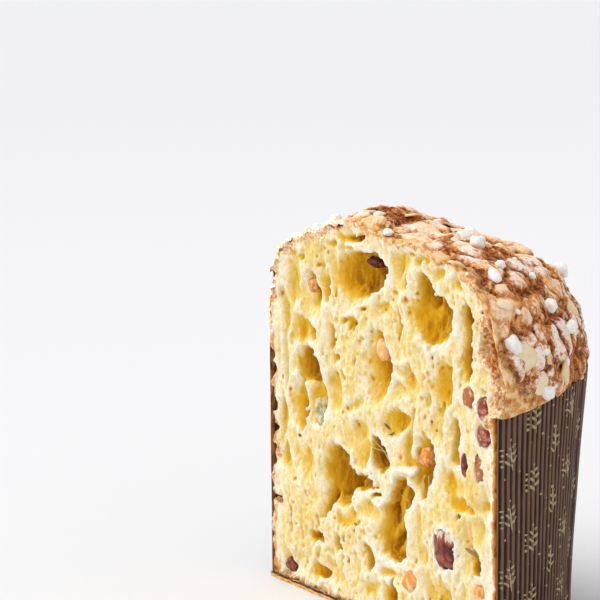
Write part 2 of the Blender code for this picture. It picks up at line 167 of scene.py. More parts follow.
# gentle dents in the cut: x, z, half width, half height, lean, depth
DENTS = [
    (-73, 130, 5, 15, 0, 1.3), (-48.5, 138.5, 3.2, 2.6, 0, 2.2), (-28, 145, 4, 5, 20, 1.2),
    (15, 165, 6, 5, 0, 1.8), (27, 166, 4, 3, 0, 1.4), (44, 164, 5, 4, 0, 1.5), (55, 168, 4, 2, -10, 1.4),
    (45, 125, 10, 9, 0, 2.0), (17, 114, 5, 2.6, 0, 1.2), (35, 106, 3, 3.4, 0, 1.6),
    (45, 106, 3.2, 4.4, 0, 1.4), (-63, 97, 5.5, 4.5, 0, 1.8), (-35, 98, 6.5, 11, 0, 1.8),
    (-35, 110, 5, 7, 0, 1.2), (-16, 76, 8, 7.5, 0, 2.4), (-70, 56, 4.5, 4, 0, 1.3),
    (-10, 48, 9, 4, 12, 2.2), (-26, 46, 7, 3.4, 12, 2.0), (22, 86, 3.4, 9, -14, 2.2),
    (25, 75, 5, 4.5, 0, 2.4), (31, 67, 2.4, 4.4, 0, 1.4), (50, 79, 6, 8, 0, 1.9),
    (68, 57, 5, 4.5, 0, 1.4), (48, 31, 7, 4.4, 0, 2.0), (33, 41, 4, 6, 0, 1.5), (36, 27, 7, 6, 0, 2.2),
    (4, 26, 6, 3.4, 0, 2.0), (18, 28, 6, 3.4, 0, 2.2), (70, 68, 9, 3, 0, 1.3), (-5, 108, 10, 7, 10, 1.8),
    (12, 103, 8, 5, 10, 1.4), (-20, 95, 7, 4, 20, 1.2), (-58, 44, 8, 5, 10, 1.0), (-8, 15, 8, 5, 8, 1.6),
    (-34, 14, 9, 5, 8, 1.3), (-62, 18, 6, 5, 0, 1.2), (52, 14, 7, 8, 0, 1.5), (20, 12, 5, 6, 0, 1.6),
    (72, 22, 4, 7, 0, 1.6), (-26, 157, 5, 5, 17, 1.2), (0, 143, 8, 4, 25, 1.4), (73, 128, 3.4, 2, 0, 1.4),
    (27, 130, 5, 10, 0, 1.0), (-73, 104, 2, 12, 0, 1.3), (-75, 85, 1.6, 9, 0, 1.1),
    (66, 104, 3.5, 6, 0, 1.0),
]
# slits and small holes: x, z, half length, half height, lean
SLITS = [
    (-60, 157.5, 3.8, 1.3, 10), (-44, 155.5, 3, 1.2, 4), (-40, 164.8, 1.3, 0.8, 0),
    (-23, 167.5, 5, 0.9, 8), (-33, 168, 2.5, 0.7, 8), (-10, 137.3, 3, 0.9, 8), (-26, 133.5, 4, 1.1, 30),
    (-12, 142, 3, 0.9, 15), (3, 146, 4, 0.8, 35), (-17, 117, 1.2, 3, 0), (-41, 115, 1.6, 0.7, 0),
    (-15, 127, 1.5, 0.7, 0), (-46, 132.5, 0.9, 1.7, 0), (23, 173, 3, 0.8, -6), (33, 172, 4.5, 1.1, -4),
    (16, 157, 3, 1.3, 30), (11, 153.5, 1.5, 0.8, 0), (20.5, 152, 1.8, 1.6, 0), (50, 152.5, 3, 1.2, 12),
    (67, 113, 1.8, 1.5, 0), (49, 161.5, 2, 1.5, 0), (-17, 83, 4, 1, 35), (-35, 87, 1.6, 1, 0),
    (-27, 93, 3, 1, 35), (-29, 87.3, 1, 0.8, 0), (-56, 60, 1.3, 3.5, 0), (-66.5, 51.5, 1.3, 0.6, 20),
    (-32, 41.5, 1.2, 1.2, 0), (-17.5, 41.5, 2.6, 0.9, 30), (-19, 38, 1, 0.8, 0), (-46, 35, 0.9, 0.7, 0),
    (-36, 34, 1, 0.8, 20), (-27.5, 31, 0.9, 1.4, 0), (-45, 27.5, 2, 0.9, -6), (-72, 141, 2.4, 1.2, 0),
    (-77, 139, 1, 3, 0), (-65, 146, 1, 2.4, 0), (58.5, 63, 2, 1.2, 20), (-74.5, 97, 0.7, 4.5, 0),
    (-73.5, 88, 1, 3, 0), (-51, 10, 2.6, 0.8, 5), (9, 20, 1.2, 2.6, 0), (62, 30, 1.2, 5, 0),
]
# where the crumb stands away from the paper at the left, x, z, half width, half height
GAPS = [
    (-84, 84, 5.4, 4.4), (-84.5, 99, 4.4, 5.5), (-84.5, 71.5, 4.6, 2.2), (-84, 39, 8, 1.8),
    (-84.5, 60, 3, 3),
]
# seeds and dark bits in the crumb: x, z, how far behind the cut, half width, half height, lean, how orange
BITS = [
    (24.5, 144.4, 8.2, 1.7, 1.5, 30, 0), (19.7, 152.9, 0.6, 0.8, 1.5, 0, 0.6),
    (-20.7, 111.2, 0.6, 0.4, 0.9, 10, 0), (-28.8, 90.9, 1.4, 1.4, 1.1, 30, 1),
    (-30.7, 86.8, 1.2, 0.7, 1.2, 0, 0.9), (-18.9, 40.4, 0.8, 1.4, 1.0, -30, 0.5),
    (-61.9, 73.1, 0.3, 1.0, 0.8, 0, 0), (5.5, 91.8, 0.8, 2.6, 0.35, -30, 0),
    (9.5, 89.6, 0.9, 1.8, 0.3, 35, 0), (7.5, 88.5, 1.2, 1.2, 0.3, 10, 0),
    (67.5, 48.8, 0.3, 5.2, 0.9, -13, 0.2), (58.3, 63.2, 0.4, 0.9, 1.3, 0, 0.2),
    (-78.2, 38.5, 0.2, 2.6, 1.6, 0, 0.4), (-17.5, 8.5, 0.3, 0.8, 0.6, 0, 0.6),
    (65, 36.5, 1.5, 2.4, 0.9, 10, 0.7), (-6, 133, 1.0, 0.5, 0.9, 20, 0.8),
    (-24, 22, 0.4, 0.5, 0.8, 0, 0.7), (42, 98, 0.6, 0.5, 0.9, 15, 0.7),
]
# threads of crumb across the dark bubble and beside it, from and to as x, y, z
THREADS = [
    ((-9, 1.5, 79.5), (7, 2.5, 80.5)), ((-6, 1, 84), (5.5, 2, 76.5)), ((-12, 3, 69), (-3, 4, 60)),
    ((-1, 3, 70), (-6, 5, 59)), ((33, 3, 75), (30, 4, 62)), ((5, 4, 63), (15, 6, 59)),
    ((20, 4, 58), (24, 5, 49)),
]
# where the crust's browning reaches in from the edge of the cut: x, z, half width, half height, how much
BROWNED = [
    (79, 109, 4.5, 6, 0.9), (-81.5, 62, 3.4, 4.5, 1.1), (-83.5, 48, 2.2, 11, 0.8),
    (-83.5, 26, 2, 12, 0.8), (-83, 88, 2.4, 7, 0.9), (-83.5, 104, 2, 9, 0.8), (-60, 3, 26, 2.4, 0.9),
    (20, 2.5, 40, 1.6, 0.6), (81, 139, 9, 9, 1.3), (85, 123, 6, 9, 0.9), (78, 152, 7, 6, 0.8),
    (-82, 143, 5, 12, 0.6), (-68, 159, 12, 4, 0.45), (-46, 170, 12, 4, 0.5), (-33, 177, 6, 3, 0.8),
]
# where the crumb is full of tiny holes: x, z, half width, half height
FLUFFY = [
    (45, 122, 10, 10), (-27, 38, 19, 8), (-20, 128, 15, 9), (-62, 42, 13, 12), (33, 108, 18, 6),
    (-40, 20, 22, 9), (10, 140, 9, 9), (35, 15, 30, 8),
]
# a deep notch under the crust at the right: where, half sizes, lean and how soft its rim is
NOTCH = ((76.5, 0, 141), (4.5, 4.5, 5.5), -20, 0.8)
# the crests on the torn face: lengths across, in and up, seed, lean and how thin
STRANDS = [
    ((1.7, 2.4, 4.4), 51, 10, 0.42), ((1.3, 1.9, 3.2), 52, -14, 0.36), ((1.0, 1.3, 1.6), 53, 30, 0.3),
]
# how many small holes are pricked in the crumb
PORES = 950
# strands and torn shreds of crumb: from and to as x, y, z, then the thickness at each end
SHREDS = [
    ((24, 1.5, 75), (13, 2, 73.6), 2.4, 1.3), ((13, 2, 73.6), (3, 2.5, 71), 1.3, 0.35),
    ((26, 2, 61), (22, 3, 53), 2.4, 1.5), ((22, 3, 53), (17, 4, 43.5), 1.5, 0.4),
    ((-10, 5, 66), (2, 6, 55), 1.0, 0.6), ((-20, 2, 52), (-2, 3, 60), 1.2, 0.8),
    ((36, 4, 66), (33, 5, 60), 1.0, 0.4), ((-3, 3, 70), (2, 4, 62), 0.8, 0.4),
    ((2, 4, 66), (12, 3, 73), 0.6, 1.0), ((27, 3, 66), (29, 4, 74), 0.8, 0.35),
    ((22, 4, 52), (27, 3, 47), 0.9, 0.4), ((-8, 4, 69), (-14, 3, 62), 0.8, 0.4),
    ((5, 5, 66), (-4, 6, 60), 0.6, 0.8), ((10, 6, 50), (14, 8, 66), 0.8, 1.2),
    # folds that hang in the low bubble
    ((12, 10, 62), (3, 9, 38), 3.4, 2.2), ((4, 8, 60), (-3, 8, 45), 2.6, 1.6),
    ((13, 11, 40), (3, 9, 31), 2.0, 1.6),
    # these cover the top of the lowest raisin
    ((42, 0.6, 58), (43.5, -0.6, 50), 1.2, 0.4), ((49, 0.4, 59), (49.5, -1.1, 50.5), 1.5, 0.5),
    ((55, 0.6, 57), (53.5, -0.8, 49), 1.3, 0.4),
]

# almond flakes on the crust: bearing, elevation above the rim's centre, long, short, turn, lift
ALMONDS = [
    (22, 75, 12, 7.5, 10, 6), (4, 57, 9, 6.5, 40, 4), (9, 16, 13, 11, 60, 10), (13, 8.5, 12, 9.5, 20, 12),
    (28, 7.5, 11.5, 9.5, 70, 14), (20, 13, 13, 5, 85, 8), (38, 62, 9, 5, 15, 8), (118, 64, 13, 7, 5, 10),
    (150, 60, 11, 6.5, 30, 6), (60, 40, 12, 8, 50, 6), (88, 30, 12, 8, 120, 7),
    (112, 44, 11.5, 7.5, 80, 6), (133, 22, 12.5, 8, 30, 8), (160, 26, 11, 7.5, 100, 6),
    (74, 16, 12, 8.5, 65, 9), (50, 22, 11, 8, 10, 8),
]
# pearl sugar on the crust: bearing, elevation above the rim's centre, half size, how long for its width
SUGAR = [
    (37, 55.5, 3.3, 1.1), (78, 56, 3.7, 1.05), (32, 27, 3.4, 1), (6, 20.5, 3.6, 1.5), (16, 5.5, 3.3, 1.1),
    (38, 19, 2.7, 2), (30.5, 11, 2.5, 1.2), (13, 41, 3, 1.4), (176, 30, 3, 1.3), (96, 46, 3.3, 1.2),
    (120, 33, 3.1, 1.3), (148, 42, 3.4, 1.1), (66, 29, 3, 1.4), (104, 18, 3.2, 1.2), (140, 12, 3, 1.3),
    (165, 50, 3, 1.1), (84, 9, 2.9, 1.2), (178, 34, 1.8, 1.4), (177, 44, 1.5, 1.6), (178.5, 51, 2, 1.5),
    (176, 22, 1.5, 1.2), (178.6, 2.5, 2.1, 1.5),
]


def colour(code):
    """A hex value, or one of the settings' colours, as linear red, green, blue and alpha."""
    if not isinstance(code, str):
        return tuple(code) + (1.0,)
    parts = [int(code[i:i + 2], 16) / 255 for i in (1, 3, 5)]
    return tuple(p / 12.92 if p <= 0.04045 else ((p + 0.055) / 1.055) ** 2.4 for p in parts) + (1.0,)


def tint(name, description, code):
    """A colour setting whose default is a hex value."""
    return FloatVectorProperty(name=name, description=description, default=colour(code)[:3], subtype='COLOR',
                               min=0.0, max=1.0)


def millimetres(name, description, default):
    """A length setting whose default is given in millimetres."""
    return FloatProperty(name=name, description=description, default=default * MM, unit='LENGTH', min=0.0)


def how_many(name, description, default):
    """A setting that is a whole number."""
    return IntProperty(name=name, description=description, default=default, min=0)


class LoafColours(bpy.types.PropertyGroup):
    """Main colours of the loaf and its case."""

    crumb_ridge: tint("Crumb ridges", "Torn ridges of the crumb", "#FBEDCC")
    # the hollows' gold is partly the crumb's own colour and partly painted glow of light soaking through the
    # bubbles' walls
    crumb_hollow: tint("Crumb hollows", "Moist walls of the bubbles", "#E8B830")
    crust_brown: tint("Crust", "Browned crust between the patches of glaze", "#A25622")
    crust_sugar: tint("Dry glaze", "Sugar glaze that stayed dry", "#F8E8DE")
    almond: tint("Almond", "Toasted almond flakes", "#E6C692")
    sugar: tint("Pearl sugar", "Grains of sugar", "#FAFAF7")
    raisin: tint("Raisin", "Raisin skin in its creases", "#672214")
    peel: tint("Peel", "Candied orange peel", "#E08A1C")
    citron: tint("Citron", "Candied citron", "#B4AB80")
    paper: tint("Paper", "Printed side of the case", "#3A2820")
    sprigs: tint("Sprigs", "Pattern printed on the case", "#B0A47A")
    base_paper: tint("Base paper", "Toasted bottom of the case", "#D29A56")


class LoafSettings(bpy.types.PropertyGroup):
    """Sizes of the crumb, the crust and the case."""

    grid_step: millimetres("Grid step", "Spacing of the crumb's grid", 0.6)
    slab: millimetres("Slab", "How deep the open crumb is made", 29)
    flakes: how_many("Flakes", "Almond flakes added to the listed ones", 12)
    grains: how_many("Sugar grains", "Grains of sugar added to the listed ones", 26)
    pleats: how_many("Pleats", "Pleats round the half case", 92)
    pleat_depth: millimetres("Pleat depth", "From ridge to valley", 0.7)
    paper: millimetres("Paper", "Thickness of the case's paper", 0.45)


# shape of the loaf


def clamp(value, low=0.0, high=1.0):
    """The value, kept between two others."""
    return min(max(value, low), high)


def turned(x, z, lean):
    """A place on the cut as seen by something that leans to the right by so many degrees."""
    c, s = math.cos(math.radians(lean)), math.sin(math.radians(lean))
    return x * c + z * s, z * c - x * s


def fading(distance, length):
    """1 up to a distance of nothing, and fading away over a length beyond it."""
    return np.exp(-np.maximum(distance, 0) / length)


def resample(path, parts):
    """The path's points at equal steps along it."""
    run = [0.0]
    for one, two in zip(path, path[1:]):
        run.append(run[-1] + math.dist(one, two))
    steps = np.linspace(0, run[-1], parts + 1)
    return np.stack([np.interp(steps, run, [p[i] for p in path]) for i in (0, 1)], axis=1)


def stretch(z):
    """How much deeper than wide the half is at a height."""
    return (SIDE_LOW + (SIDE_RIM - SIDE_LOW) * np.clip(np.asarray(z) / CASE_HEIGHT, 0.0, 1.0)) / CASE_HALF


def section(bearing, rows):
    """The crust's outline up one bearing, blended from the two beside it."""
    keys = sorted(SECTIONS)
    low = max(k for k in keys if k <= bearing + 1e-6)
    high = min(k for k in keys if k >= bearing - 1e-6)
    part = 0.0 if low == high else (bearing - low) / (high - low)
    part = part * part * (3 - 2 * part)
    return resample(SECTIONS[low], rows) * (1 - part) + resample(SECTIONS[high], rows) * part


def rim(bearing):
    """The height of the case's rim, just under the crust that hangs over it."""
    return section(bearing, 20)[0][1] - 0.8


def wobble(point):
    """Three smooth random numbers at a point, the same in every run, to bend a pattern with."""
    shifts = [Vector((far, 0.7 * far, -far)) for far in (9.3, 21.7, 34.1)]
    return Vector([noise.noise(point + shift) for shift in shifts])


def lump(point):
    """How far the crust swells or sinks at a point, and how far the point is from a crack."""
    bent = point + 2.2 * wobble(point / 6.0)
    near = noise.voronoi(bent / 15.0)[0]
    crack = clamp((near[1] - near[0]) / 0.42)
    swell = 2.1 * noise.noise(point / 20.0) + 1.5 * noise.noise(point / 8.5 + Vector((7, 3, 1)))
    fade = clamp((point.z - 113.0) / 10.0) * min(1.0, 0.2 + math.hypot(point.x, point.y) / 22.0)
    sharp = clamp(0.7 + 0.9 * noise.noise(point / 14.0 + Vector((2, 8, 5))), 0.15)
    return fade * (swell + 0.8 - 2.8 * sharp * (1 - math.sin(math.pi / 2 * crack))), sharp * (1.0 - crack)


def crust_sheet(columns, rows):
    """The crust's outer skin as rows of points by bearing, with its outward ways and cracks."""
    sheet = []
    for bearing in np.linspace(0, 180, columns + 1):
        path = section(bearing, rows)
        turn = math.radians(bearing)
        r, z = path[:, 0], path[:, 1]
        sheet.append(np.stack([r * math.cos(turn), r * math.sin(turn) * stretch(z), z], axis=1))
    sheet = np.array(sheet)
    out = np.cross(np.gradient(sheet, axis=0), np.gradient(sheet, axis=1))
    out[:, -1] = (0, 0, 1)
    out[[0, -1], :, 1] = 0
    out /= np.linalg.norm(out, axis=2, keepdims=True) + 1e-9
    out *= np.sign((out * (sheet - (0, 0, 120))).sum(axis=2, keepdims=True) + 1e-9)
    pairs = np.array([[lump(Vector(p)) for p in column] for column in sheet])
    sheet = sheet + out * pairs[..., :1]
    sheet[..., 1] = np.maximum(sheet[..., 1], 0)
    return sheet, out, pairs[..., 1]


def reach_table(climbs):
    """How far the crust is from the rim's middle by bearing and climb, and the rim's height by bearing."""
    sheet, _, _ = crust_sheet(72, 90)
    table, rims = [], []
    for column in sheet:
        across = np.hypot(column[:, 0], column[:, 1] / stretch(column[:, 2]))
        rise = column[:, 2] - CASE_HEIGHT
        climb = np.maximum.accumulate(np.degrees(np.arctan2(rise, across)))
        table.append(np.interp(climbs, climb, np.hypot(across, rise)))
        rims.append(column[0, 2])
    return np.array(table), np.array(rims)


# crumb


def soft_max(a, b, width):
    """The larger of two fields, with the crease between them rounded over a width."""
    return np.maximum(a, b) + np.maximum(width - np.abs(a - b), 0) ** 2 / (4 * width)


def smoothed(values, step, lengths, lean=0.0):
    """Values over a block, blurred by a length along each axis, turned by a lean about the second."""
    waves = np.fft.rfftn(values)
    kx = np.fft.fftfreq(values.shape[0], step)[:, None, None]
    ky = np.fft.fftfreq(values.shape[1], step)[None, :, None]
    kz = np.fft.rfftfreq(values.shape[2], step)[None, None, :]
    ku, kw = turned(kx, kz, -lean)
    spread = (ku * lengths[0]) ** 2 + (ky * lengths[1]) ** 2 + (kw * lengths[2]) ** 2
    waves *= np.exp(-2 * math.pi ** 2 * spread)
    return np.fft.irfftn(waves, values.shape).astype(np.float32)


def round_about(solid, step, length):
    """The share of bread round each point of the block."""
    return smoothed(solid.astype(np.float32), step, (length, length, length))


class Grid:
    """A block of points in millimetres about the cut's foot, with a distance at each."""

    def __init__(self, low, high, step):
        self.low, self.step = np.array(low), step
        self.axes = [np.arange(a, b, step, dtype=np.float32) for a, b in zip(low, high)]
        self.shape = tuple(len(a) for a in self.axes)
        self.x, self.y, self.z = np.meshgrid(*self.axes, indexing='ij', sparse=True)
        self.field = None

    def cloud(self, lengths, seed, lean=0.0):
        """Smooth random values of unit spread, with a length of correlation along each axis."""
        draw = np.random.default_rng(seed)
        out = smoothed(draw.standard_normal(self.shape, dtype=np.float32), self.step, lengths, lean)
        return out / out.std()

    def near(self, low, high):
        """The slices of the block between two corners, or None."""
        cuts = []
        for a, b, start, parts in zip(low, high, self.low, self.shape):
            first = max(int((a - start) / self.step), 0)
            last = min(int((b - start) / self.step) + 2, parts)
            if first >= last:
                return None
            cuts.append(slice(first, last))
        return tuple(cuts)

    def carve(self, centre, sizes, lean=0.0, soft=0.8, warp=None, spread=1.0, skew=0.0):
        """Takes a leaning oval out of the crumb; a skewed one slopes in from the left to a sharp right rim."""
        far = max(sizes[0], sizes[2]) + 4 + 0.3 * skew * (centre[1] + sizes[1])
        cuts = self.near((centre[0] - far, centre[1] - sizes[1] - 4, centre[2] - far),
                         (centre[0] + far, centre[1] + sizes[1] + 4, centre[2] + far))
        if not cuts:
            return
        x = self.x[cuts[0]] - centre[0]
        if skew:
            left = np.clip(0.5 - x / sizes[0], 0, 1)
            x = x - skew * (0.3 + 0.7 * left) * np.maximum(self.y[:, cuts[1]], 0)
        y = self.y[:, cuts[1]] - centre[1]
        z = self.z[:, :, cuts[2]] - centre[2]
        if warp is not None:
            x, y, z = (a + spread * w[cuts] for a, w in zip((x, y, z), warp))
        u, w = turned(x, z, lean)
        inner = np.sqrt((u / sizes[0]) ** 2 + (y / sizes[1]) ** 2 + (w / sizes[2]) ** 2) + 1e-4
        outer = np.sqrt((u / sizes[0] ** 2) ** 2 + (y / sizes[1] ** 2) ** 2 + (w / sizes[2] ** 2) ** 2) + 1e-4
        if skew:
            soft = soft * (1 - 0.75 * np.clip(0.5 + 0.6 * u / sizes[0], 0, 1))
        self.field[cuts] = soft_max(self.field[cuts], -inner * (inner - 1) / outer, soft)

    def strand(self, one, two, thick, thin, warp):
        """Adds a tapering strand of crumb between two places."""
        far = thick + 4
        cuts = self.near(np.minimum(one, two) - far, np.maximum(one, two) + far)
        places = (self.x[cuts[0]], self.y[:, cuts[1]], self.z[:, :, cuts[2]])
        steps = [a + 0.7 * w[cuts] - start for a, w, start in zip(places, warp, one)]
        way = np.subtract(two, one)
        part = np.clip(sum(step * along for step, along in zip(steps, way)) / (way @ way), 0, 1)
        away = np.sqrt(sum((step - part * along) ** 2 for step, along in zip(steps, way)))
        self.field[cuts] = -soft_max(-self.field[cuts], thick + (thin - thick) * part - away, 1.2)


def chambers(grid, broad, crowded, inside):
    """How deep the cut's shallow cells are: taller than wide and deeper at their right, then the dents."""
    draw = random.Random(17)
    wide, tall = 11.5, 25.0
    x = grid.x[:, 0, :] + 2.4 * broad[0][:, 0, :]
    z = grid.z[0, :, :] + 3.5 * broad[1][:, 0, :]
    first = np.full(x.shape, 99.0, dtype=np.float32)
    second = first.copy()
    floor = np.zeros_like(first)
    tilt = np.zeros_like(first)
    for row in range(-1, 10):
        for column in range(-11, 12):
            at_x = (column + 0.5 * (row % 2) + draw.uniform(-0.42, 0.42)) * wide
            at_z = (row + draw.uniform(-0.45, 0.45)) * tall
            size = draw.uniform(-2.0, 2.6)
            deep = draw.choice((0.2, 0.4, 0.7, 1.1, 1.5, 1.9, 2.4, 3.0))
            away = np.hypot(x - at_x, (z - at_z) * wide / tall) - size
            closer = away < first
            second = np.where(closer, first, np.minimum(second, away))
            floor = np.where(closer, deep, floor)
            tilt = np.where(closer, (x - at_x) / wide, tilt)
            first = np.where(closer, away, first)
    # the walls between the cells are thin crests, so a cell's floor starts a little way inside its border
    slope = 5.8
    border = np.clip((second - first) / 2 - 0.4 + 0.4 * broad[0][:, 4, :], 0, slope) / slope
    cells = floor * border * (2 - border) * np.clip(0.8 + 1.1 * tilt, 0.15, 1.5) * (1 - 0.6 * crowded)
    for at_x, at_z, half_wide, half_tall, lean, deep in DENTS:
        u, w = turned(x - at_x, z - at_z, lean)
        u, w = u / half_wide, w / half_tall
        cells = cells + 1.35 * deep * np.exp(-(u * u + w * w) ** 1.6) * np.clip(0.85 + 0.45 * u, 0.3, 1.3)
    return cells * np.clip(inside / 6, 0.08, 1)


def bread_edge(grid):
    """The distance of each point of the block past the crumb's outer edge, inside the crust and the case."""
    bearing_step, climb_step = 2.5, 1.5
    table, rims = reach_table(np.arange(0, 91, climb_step))
    deeper = stretch(grid.axes[2]).astype(np.float32)[None, None, :]
    across = np.hypot(grid.x, grid.y / deeper)
    rise = grid.z - CASE_HEIGHT
    bearing = np.degrees(np.arctan2(np.maximum(grid.y, 0) / deeper, grid.x + 0 * grid.z))
    climb = np.degrees(np.arctan2(np.maximum(rise, 0) + 0 * across, across + 1e-3))
    i, j = np.clip(bearing / bearing_step, 0, 71.99), np.clip(climb / climb_step, 0, 59.99)
    i0, j0 = i.astype(int), j.astype(int)
    fi, fj = i - i0, j - j0
    reach = ((table[i0, j0] * (1 - fj) + table[i0, j0 + 1] * fj) * (1 - fi)
             + (table[i0 + 1, j0] * (1 - fj) + table[i0 + 1, j0 + 1] * fj) * fi)
    rim_here = rims[i0] * (1 - fi) + rims[i0 + 1] * fi
    # under the dome the crumb ends a millimetre inside the crust
    dome = np.hypot(across, np.maximum(rise, 0)) - (reach - 1.0)
    return np.where(grid.z > rim_here + 0.4, dome, across - BREAD_SIDE).astype(np.float32)


def torn_strands(grid, broad):
    """Thin crests of torn crumb that run mostly upwards, part and meet again, from 0 to 1."""
    strands = 0
    for lengths, seed, lean, thin in STRANDS:
        crest = np.clip(1 - np.abs(grid.cloud(lengths, seed, lean)) / thin, 0, 1)
        strands = np.maximum(strands, crest * np.clip(0.7 + 0.5 * broad[seed % 2], 0.15, 1))
    return strands


def prick_pores(grid, edge, crowded):
    """Small holes wherever the crumb's skin is near the cut, longer upwards than across."""
    draw = random.Random(7)
    skin = np.argwhere((np.abs(grid.field) < 0.8) & (edge < -0.8) & (grid.y < 3.2))
    weight = 0.16 + crowded[skin[:, 0], skin[:, 2]]
    for pick in np.random.default_rng(12).choice(len(skin), PORES, replace=False, p=weight / weight.sum()):
        wide = 0.35 + 0.6 * draw.random() ** 3
        at = grid.low + grid.step * (skin[pick] + (0.5, draw.uniform(-0.4, 1.0), 0.5))
        grid.carve(at, (wide, wide * 0.5, wide * draw.uniform(0.9, 2.0)), draw.uniform(-25, 25), 0.7)


def crumb_block(step, slab):
    """The crumb as a field of distances: torn face, chambers, bubbles, pockets, then pores and fibres."""
    grid = Grid((-88, -3, 0.9), (93, slab, 184), step)
    broad = [grid.cloud((6, 6, 8), seed) for seed in (5, 6)]
    fibre = 0.5 * (grid.cloud((0.65, 1.4, 4.2), 8, 10) + grid.cloud((0.65, 1.4, 3.4), 9, -12))
    fine = grid.cloud((0.6, 0.6, 0.8), 3)
    strands = torn_strands(grid, broad)
    warp = [grid.cloud((3.4, 3.4, 4.2), seed) + 0.14 * grid.cloud((0.9, 0.9, 1.1), seed + 9)
            for seed in (21, 22, 23)]

    # the cut face is torn a little, and the block ends just inside the crust or the case
    crowded = 0
    for x, z, wide, tall in FLUFFY:
        crowded = crowded + np.exp(-(((grid.x - x) / wide) ** 2 + ((grid.z - z) / tall) ** 2) ** 2)
    crowded = np.minimum(crowded[:, 0, :], 1)
    edge = bread_edge(grid)
    cells = chambers(grid, broad, crowded, -edge[:, round(3 / step), :])[:, None, :]
    face = -0.1 + 0.4 * broad[0] + cells - grid.y
    grid.field = soft_max(face.astype(np.float32), edge, 0.9)
    whole = grid.field.copy()

    for x, z, wide, tall, lean, depth, behind in BUBBLES:
        soft, slope = SOFT.get((x, z), 4.0), SLOPE.get((x, z), 0.9)
        grid.carve((x, behind, z), (wide, depth, tall), lean, soft, warp, 0.7, slope)
    for x, z, wide, tall, lean in SLITS:
        grid.carve((x, 0.1, z), (wide, 1.6, tall), lean, 1.2, warp, 0.5)
    for x, z, wide, tall in GAPS:
        grid.carve((x, 0, z), (wide, 5, tall), 0, 0.6, warp)
    grid.carve(*NOTCH, warp)
    for name, x, z, behind, wide, depth, tall, lean in RAISINS + PEEL + CITRON:
        # a snug pocket, then an opening towards the cut
        grid.carve((x, behind, z), (wide - 0.5, depth, tall - 0.5), lean, 0.5)
        much = OPEN.get(name, 0.85)
        grid.carve((x, 0.4 * behind, z), (much * wide, depth, much * tall), lean, 0.9, warp, 0.25)
    for shred in SHREDS:
        grid.strand(*shred, warp)
    prick_pores(grid, edge, crowded)

    # fibres, fine crumb and crests, strongest on the torn face
    torn = fading(grid.y - 0.6, 1.8) * np.exp(-cells / 1.6)
    grid.field += ((0.1 + 0.12 * torn) * fibre + (0.06 + 0.13 * torn) * fine
                   - (0.12 + 0.33 * torn) * (strands - 0.3))
    # the walls of the bubbles are folded and streaked
    folds = grid.cloud((1.5, 2.0, 3.4), 41, 12) + 0.5 * grid.cloud((0.8, 1.0, 2.4), 42, -10)
    folds -= 1.5 * np.clip(1 - np.abs(grid.cloud((1.2, 1.6, 4.2), 43, 8)) / 0.36, 0, 1)
    grid.field += 0.4 * (1 - fading(grid.y - 1.5, 3)) * folds
    # where the crust's browning reaches in, the bread is crumbly
    crag = grid.cloud((1.0, 1.0, 1.2), 31)
    for x, z, wide, tall, much in BROWNED:
        near = np.exp(-((grid.x - x) / wide) ** 2 - ((grid.z - z) / tall) ** 2) * fading(grid.y - 2, 3)
        grid.field += 0.75 * near * crag
    grid.field = np.maximum(grid.field, edge)
    return grid, edge, whole, strands


def read_at(values, places):
    """The values at places given in grid steps, by straight-line blending."""
    top = np.array(values.shape) - 1.001
    places = np.clip(places, 0, top)
    low = places.astype(int)
    part = places - low
    out = 0
    for corner in range(8):
        bits = [(corner >> axis) & 1 for axis in range(3)]
        share = np.prod([part[:, a] if bits[a] else 1 - part[:, a] for a in range(3)], axis=0)
        out = out + share * values[tuple(low[:, a] + bits[a] for a in range(3))]
    return out


# materials


def node(tree, kind, *values, stops=(), out=None, **others):
    """Adds a shader node and gives back one output: values feed its inputs in order, and of the other words
    those with a capital are inputs too, and the rest are the node's settings."""
    made = tree.nodes.new("ShaderNode" + kind)
    for name, value in others.items():
        if name[0].islower():
            setattr(made, name, value)
    feeds = list(zip([socket for socket in made.inputs if socket.enabled], values))
    feeds += [(made.inputs[name], value) for name, value in others.items() if name[0].isupper()]
    for socket, value in feeds:
        if isinstance(value, bpy.types.NodeSocket):
            tree.links.new(value, socket)
        else:
            socket.default_value = colour(value) if socket.type == 'RGBA' else value
    points = made.color_ramp.elements if stops else []
    while len(points) < len(stops):
        points.new(0.5)
    for point, (place, code) in zip(points, stops):
        point.position = place
        point.color = colour(code)
    return made.outputs[out] if out else next(socket for socket in made.outputs if socket.enabled)


def grain(tree, size, detail=3.0, squash=(1.0, 1.0, 1.0), rough=0.55):
    """Noise over the object whose lumps are about so many millimetres across."""
    place = node(tree, "TexCoord", out="Object")
    shaped = node(tree, "Mapping", place, Scale=squash)
    return node(tree, "TexNoise", shaped, Scale=1.0 / (size * MM), Detail=detail, Roughness=rough)


def uneven(tree, name, much, size, detail=3.0, squash=(1.0, 1.0, 1.0), rough=0.55):
    """A number stored at the piece's vertices, made uneven by so much of that noise."""
    stored = node(tree, "Attribute", attribute_name=name, out="Fac")
    clouds = grain(tree, size, detail, squash, rough)
    return node(tree, "Math", clouds, much, stored, operation='MULTIPLY_ADD')


def covered(tree, paint, pattern, low, high, over, share=1.0):
    """The paint with a second colour over it, thicker as the pattern rises from a low value to a high one."""
    where = node(tree, "MapRange", pattern, low, high, interpolation_type='SMOOTHSTEP')
    if share != 1.0:
        where = node(tree, "Math", where, share, operation='MULTIPLY')
    return node(tree, "Mix", where, paint, over, data_type='RGBA')


def shades():
    """The loaf's colours, as set in the sidebar."""
    return bpy.context.scene.loaf_colours


def new_material(name, roughness, specular=0.5):
    """A node material with its roughness and gloss."""
    made = bpy.data.materials.new(name)
    made.use_nodes = True
    shader = made.node_tree.nodes["Principled BSDF"]
    shader.inputs["Roughness"].default_value = roughness
    shader.inputs["Specular IOR Level"].default_value = specular
    return made, made.node_tree


